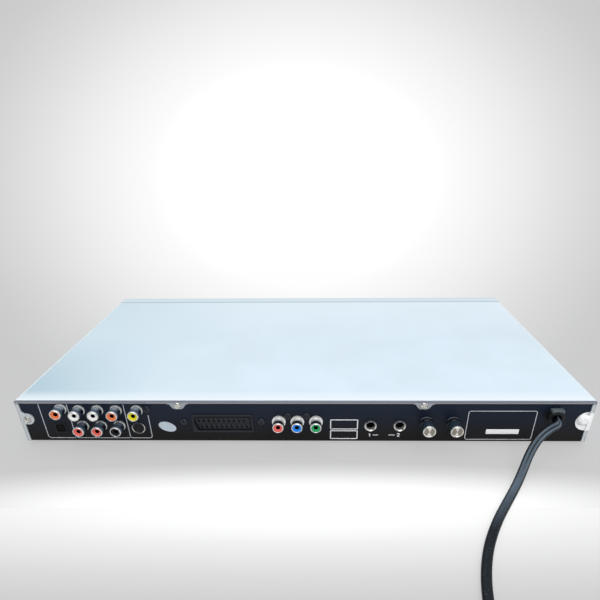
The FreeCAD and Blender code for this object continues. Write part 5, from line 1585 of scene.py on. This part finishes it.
@dataclass
class LevelKnob:
    """A slim black knob with a bright turned cap."""

    bench: Workbench
    body: str
    centre: Point
    base: float = 5.08
    grip: float = 4.73
    back: float = 112.8
    tip: float = 114.1

    def build(self) -> None:
        """Makes the grip and its cap."""
        grip, base, back, tip = self.grip, self.base, self.back, self.tip
        stem = [
            (0.0, PANEL + 0.5), (base - 0.3, PANEL + 0.5), (base, PANEL + 0.8), (base, 104.6),
            (base - 0.14, 105.1), (grip - 0.16, 105.35), (grip - 0.2, 105.75), (grip, 106.1),
            (grip, back - 0.25), (grip - 0.2, back), (0.0, back),
        ]
        draw = partial(turned, centre=self.centre)
        knob = drawn(f"{self.body}_grip", Finishes.KNOB, partial(draw, profile=stem))
        self.bench.place(knob, "knob_black", self.body, (f"{self.body}_knob",))
        disc = [
            (0.0, back - 0.1), (grip - 0.18, back - 0.1), (grip, back + 0.12), (grip, tip - 0.5),
            (grip - 0.12, tip - 0.18), (grip - 0.38, tip - 0.02), (grip - 0.62, tip - 0.06),
            (grip - 0.86, tip - 0.42), (2.4, tip - 0.46), (0.5, tip - 0.40), (0.0, tip - 0.38),
        ]
        cap = drawn(f"{self.body}_disc", Finishes.KNOB_CAP, partial(draw, profile=disc))
        self.bench.place(cap, "knob_cap", self.body, (f"{self.body}_cap",))


@dataclass
class CordBushing:
    """The clamp bushing: a thin flange, and a collar with a flat latch on its top."""

    bench: Workbench
    centre: Point = (-186.5, 28.0)
    lift: Point = (0.6, 0.7)
    flange: float = 7.2
    collar: float = 6.0
    bore: float = 3.15
    tip: float = 107.0

    def sleeve(self, shape: Shape) -> None:
        """Draws the flange and the collar.

        Args:
            shape: The shape that they join.
        """
        flange, collar, bore, tip = self.flange, self.collar, self.bore, self.tip
        profile = [
            (bore, PANEL - 0.7), (flange - 0.3, PANEL - 0.7), (flange - 0.3, PANEL),
            (flange, PANEL + 0.08), (flange, PANEL + 0.55), (flange - 0.18, PANEL + 0.8),
            (flange - 0.5, PANEL + 0.9), (bore, PANEL + 0.9),
        ]
        turned(shape, profile, self.centre, closed=True)
        profile = [
            (bore, PANEL + 0.6), (collar, PANEL + 0.6), (collar, tip - 1.5), (collar - 0.15, tip - 0.85),
            (collar - 0.6, tip - 0.25), (collar - 1.2, tip - 0.03), (bore + 0.5, tip - 0.1),
            (bore + 0.1, tip - 0.5), (bore, tip - 1.2),
        ]
        turned(shape, profile, self.lifted(), closed=True)

    def lifted(self) -> Point:
        """Gives the collar's middle."""
        return self.centre[0] + self.lift[0], self.centre[1] + self.lift[1]

    def build(self) -> None:
        """Makes the bushing and its latch."""
        body = drawn("bushing_body", Finishes.MOULDING, self.sleeve)
        self.bench.place(body, "moulding_black", nodes=("cord_bushing",))
        (x, z), near = self.lifted(), PANEL + 0.7
        leaf = (rounded(x - 3.5, z + 3.9, x + 3.9, z + 6.35, 0.3), near, self.tip - 0.7, 0.22)
        hook = (rounded(x - 4.5, z + 4.3, x - 3.3, z + 6.75, 0.3), near, self.tip - 0.3, 0.22)
        self.bench.place(plates("bushing_latch", Finishes.LATCH, leaf, hook), "moulding_black")


@dataclass
class PanelPrint:
    """The silver-white frames and figures on the black panel, and its stickers."""

    bench: Workbench
    thin: float = 0.55
    corner: float = 1.6
    oval_middle: Point = (103.5, 17.1)
    oval_half: Point = (6.8, 4.2)
    oval_tilt: float = 21.0
    screw: Point = (-208.8, 24.4)
    seal_middle: Point = (-211.6, 22.7)
    seal_radius: float = 8.2
    seal_edge: float = -214.98

    def build(self) -> None:
        """Prints the lines and sets the stickers."""
        bench = self.bench
        bench.stroke(
            "socket_frames", Finishes.PRINT, self.thin, self.corner * 1.5,
            [(197.7, 37.7), (197.7, 6.4), (176.6, 6.4)],
            [(176.3, 37.7), (176.3, 6.4), (134.1, 6.4)],
            [(133.8, 37.7), (133.8, 6.4), (116.7, 6.4), (116.7, 27.6)],
        )
        bench.stroke(
            "rating_frame", Finishes.PRINT, self.thin, self.corner,
            [(-123.4, 5.7), (-173.7, 5.7), (-173.7, 31.7), (-123.4, 31.7)], closed=True,
        )
        bench.stroke(
            "blank_frames", Finishes.WHITE_PRINT, 0.75, 0.35,
            [(-20.9, 15.2), (-41.2, 15.2), (-41.2, 23.6), (-20.9, 23.6)],
            [(-20.9, 6.1), (-41.2, 6.1), (-41.2, 13.5), (-20.9, 13.5)], closed=True,
        )
        bench.stroke(
            "jack_figures", Finishes.WHITE_PRINT, 0.60, 0.15,
            [(-50.1, 10.3), (-50.9, 11.0), (-50.9, 8.2)],
            [(-71.6, 10.3), (-71.9, 10.9), (-72.7, 11.1), (-73.4, 10.7), (-73.4, 10.1), (-71.7, 8.3)]
            + [(-73.7, 8.3)],
            [(-53.2, 9.6), (-57.3, 9.6)],
            [(-65.2, 9.6), (-70.0, 9.6)],
        )
        strip = (rounded(-163.3, 10.9, -138.6, 15.2, 0.3), PANEL - 0.05, PANEL + 0.12, 0.04)
        bench.place(plates("number_strip", Finishes.SEAL, strip), "insert_white")
        oval = (self.oval(), PANEL - 0.05, PANEL + 0.1)
        bench.place(plates("oval_sticker", Finishes.OVAL, oval), "insert_white")
        bench.place(drawn("round_seal", Finishes.SEAL, self.seal, 50.0), "insert_white")

    def oval(self) -> list[Point]:
        """Draws the outline of the small film sticker beside the wide socket.

        Returns:
            Its points as (x, z).
        """
        (x, z), tilt, outline = self.oval_middle, math.radians(self.oval_tilt), []
        for step in range(48):
            turn = TURN * step / 48
            along, across = self.oval_half[0] * math.cos(turn), self.oval_half[1] * math.sin(turn)
            rise = along * math.sin(tilt) + across * math.cos(tilt)
            outline.append((x + along * math.cos(tilt) - across * math.sin(tilt), z + rise))
        return outline

    def seal_level(self, x: float, z: float) -> float:
        """Gives the seal's depth over the panel, the ear and its screw.

        Args:
            x: The place along the panel.
            z: Its height.

        Returns:
            The paper's depth.
        """
        off_x, off_z = x - self.screw[0], z - self.screw[1]
        share = min(1.0, max(0.0, (math.hypot(off_x, off_z) - 2.4) / 2.7))
        rise = 1.66 * (1 - share * share * (3 - 2 * share))
        across, along = sorted((abs(off_x + 0.25 * off_z), abs(off_z - 0.25 * off_x)))
        dent = 0.34 * max(0.0, 1 - across / 0.55) * max(0.0, 1 - along / 1.9)
        edge = 0.16 * max(0.0, 1 - abs(math.dist((x, z), (-208.4, 21.2)) - 4.6) / 0.8)
        on_ear = math.hypot(off_x, off_z) < 4.8 or x < -212.0
        return (LIP if on_ear else PANEL) + 0.08 + rise - dent + edge * 0.4

    def seal(self, shape: Shape) -> None:
        """Stretches the round paper seal over the ear screw on the cord's side.

        Args:
            shape: The shape that it joins.
        """
        rings = 26
        reaches = [self.seal_radius * ring / rings for ring in range(1, rings + 1)]
        sheet(shape, self.seal_middle, reaches, 72, self.seal_level)
        cut = {"plane_co": (self.seal_edge, 0, 0), "plane_no": (-1, 0, 0), "clear_outer": True}
        bmesh.ops.bisect_plane(shape, geom=[*shape.verts, *shape.edges, *shape.faces], **cut)
        bmesh.ops.recalc_face_normals(shape, faces=shape.faces)
        if sum(face.normal.y for face in shape.faces) < 0:
            bmesh.ops.reverse_faces(shape, faces=shape.faces)
        bmesh.ops.solidify(shape, geom=shape.faces[:], thickness=0.07)


@dataclass
class FrontPanel:
    """The silver front moulding, its window, the tray's front and four buttons."""

    bench: Workbench
    buttons: tuple[str, ...] = ("power_button", "open_close_button", "play_pause_button", "stop_button")

    def build(self) -> None:
        """Dresses the front."""
        self.bench.dress(Finishes.BEZEL, "front_bezel", "tray_fascia", *self.buttons)
        self.bench.dress(Finishes.WINDOW, "display_window")


@dataclass
class Inside:
    """The boards and the disc loader."""

    bench: Workbench

    def build(self) -> None:
        """Dresses the boards, the loader and its mechanism."""
        dress = self.bench.dress
        dress(Finishes.GREEN_BOARD, "main_board", "mic_board")
        dress(Finishes.BROWN_BOARD, "power_board", "front_board")
        dress(Finishes.CHIP, "board_chips")
        dress(Finishes.WINDING, "power_transformer")
        dress(Finishes.CAPACITOR, "power_capacitors")
        dress(Finishes.MOULDING, "jack_blocks")
        dress(Finishes.LOADER, "loader_frame", "traverse_deck", "pickup_sled", "cam_slider", "turntable")
        dress(Finishes.TRAY, "disc_tray")
        dress(Finishes.GEAR, "tray_gear", "belt_pulley")
        dress(Finishes.BELT, "drive_belt")
        dress(Finishes.MOTOR, "loading_motor", "traverse_motors", "motor_pulley")
        dress(Finishes.STEEL, "guide_rods", "feed_screw", "clamp_bridge")
        dress(Finishes.CLAMPER, "clamper")


def main() -> None:
    """Builds the player's looks, piece by piece."""
    logging.basicConfig(level=logging.INFO, format="%(message)s")
    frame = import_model()
    bpy.context.scene.view_settings.view_transform = "Standard"
    bench = Workbench(frame)
    PhotoCamera().build()
    MainsCord(bench).build()
    Studio(PhotoCamera()).build()
    parts = (
        Casing(bench),
        Fasteners(bench),
        PhonoSockets(bench),
        RoundVideoSocket(bench),
        OpticalSocket(bench),
        ScartSocket(bench),
        MicJacks(bench),
        LevelKnob(bench, "mic_volume", (-92.5, 21.9)),
        LevelKnob(bench, "echo", (-112.5, 21.9)),
        CordBushing(bench),
        PanelPrint(bench),
        FrontPanel(bench),
        Inside(bench),
    )
    for part in parts:
        part.build()
        LOG.info("%s is dressed", type(part).__name__)


if __name__ == "__main__":
    main()
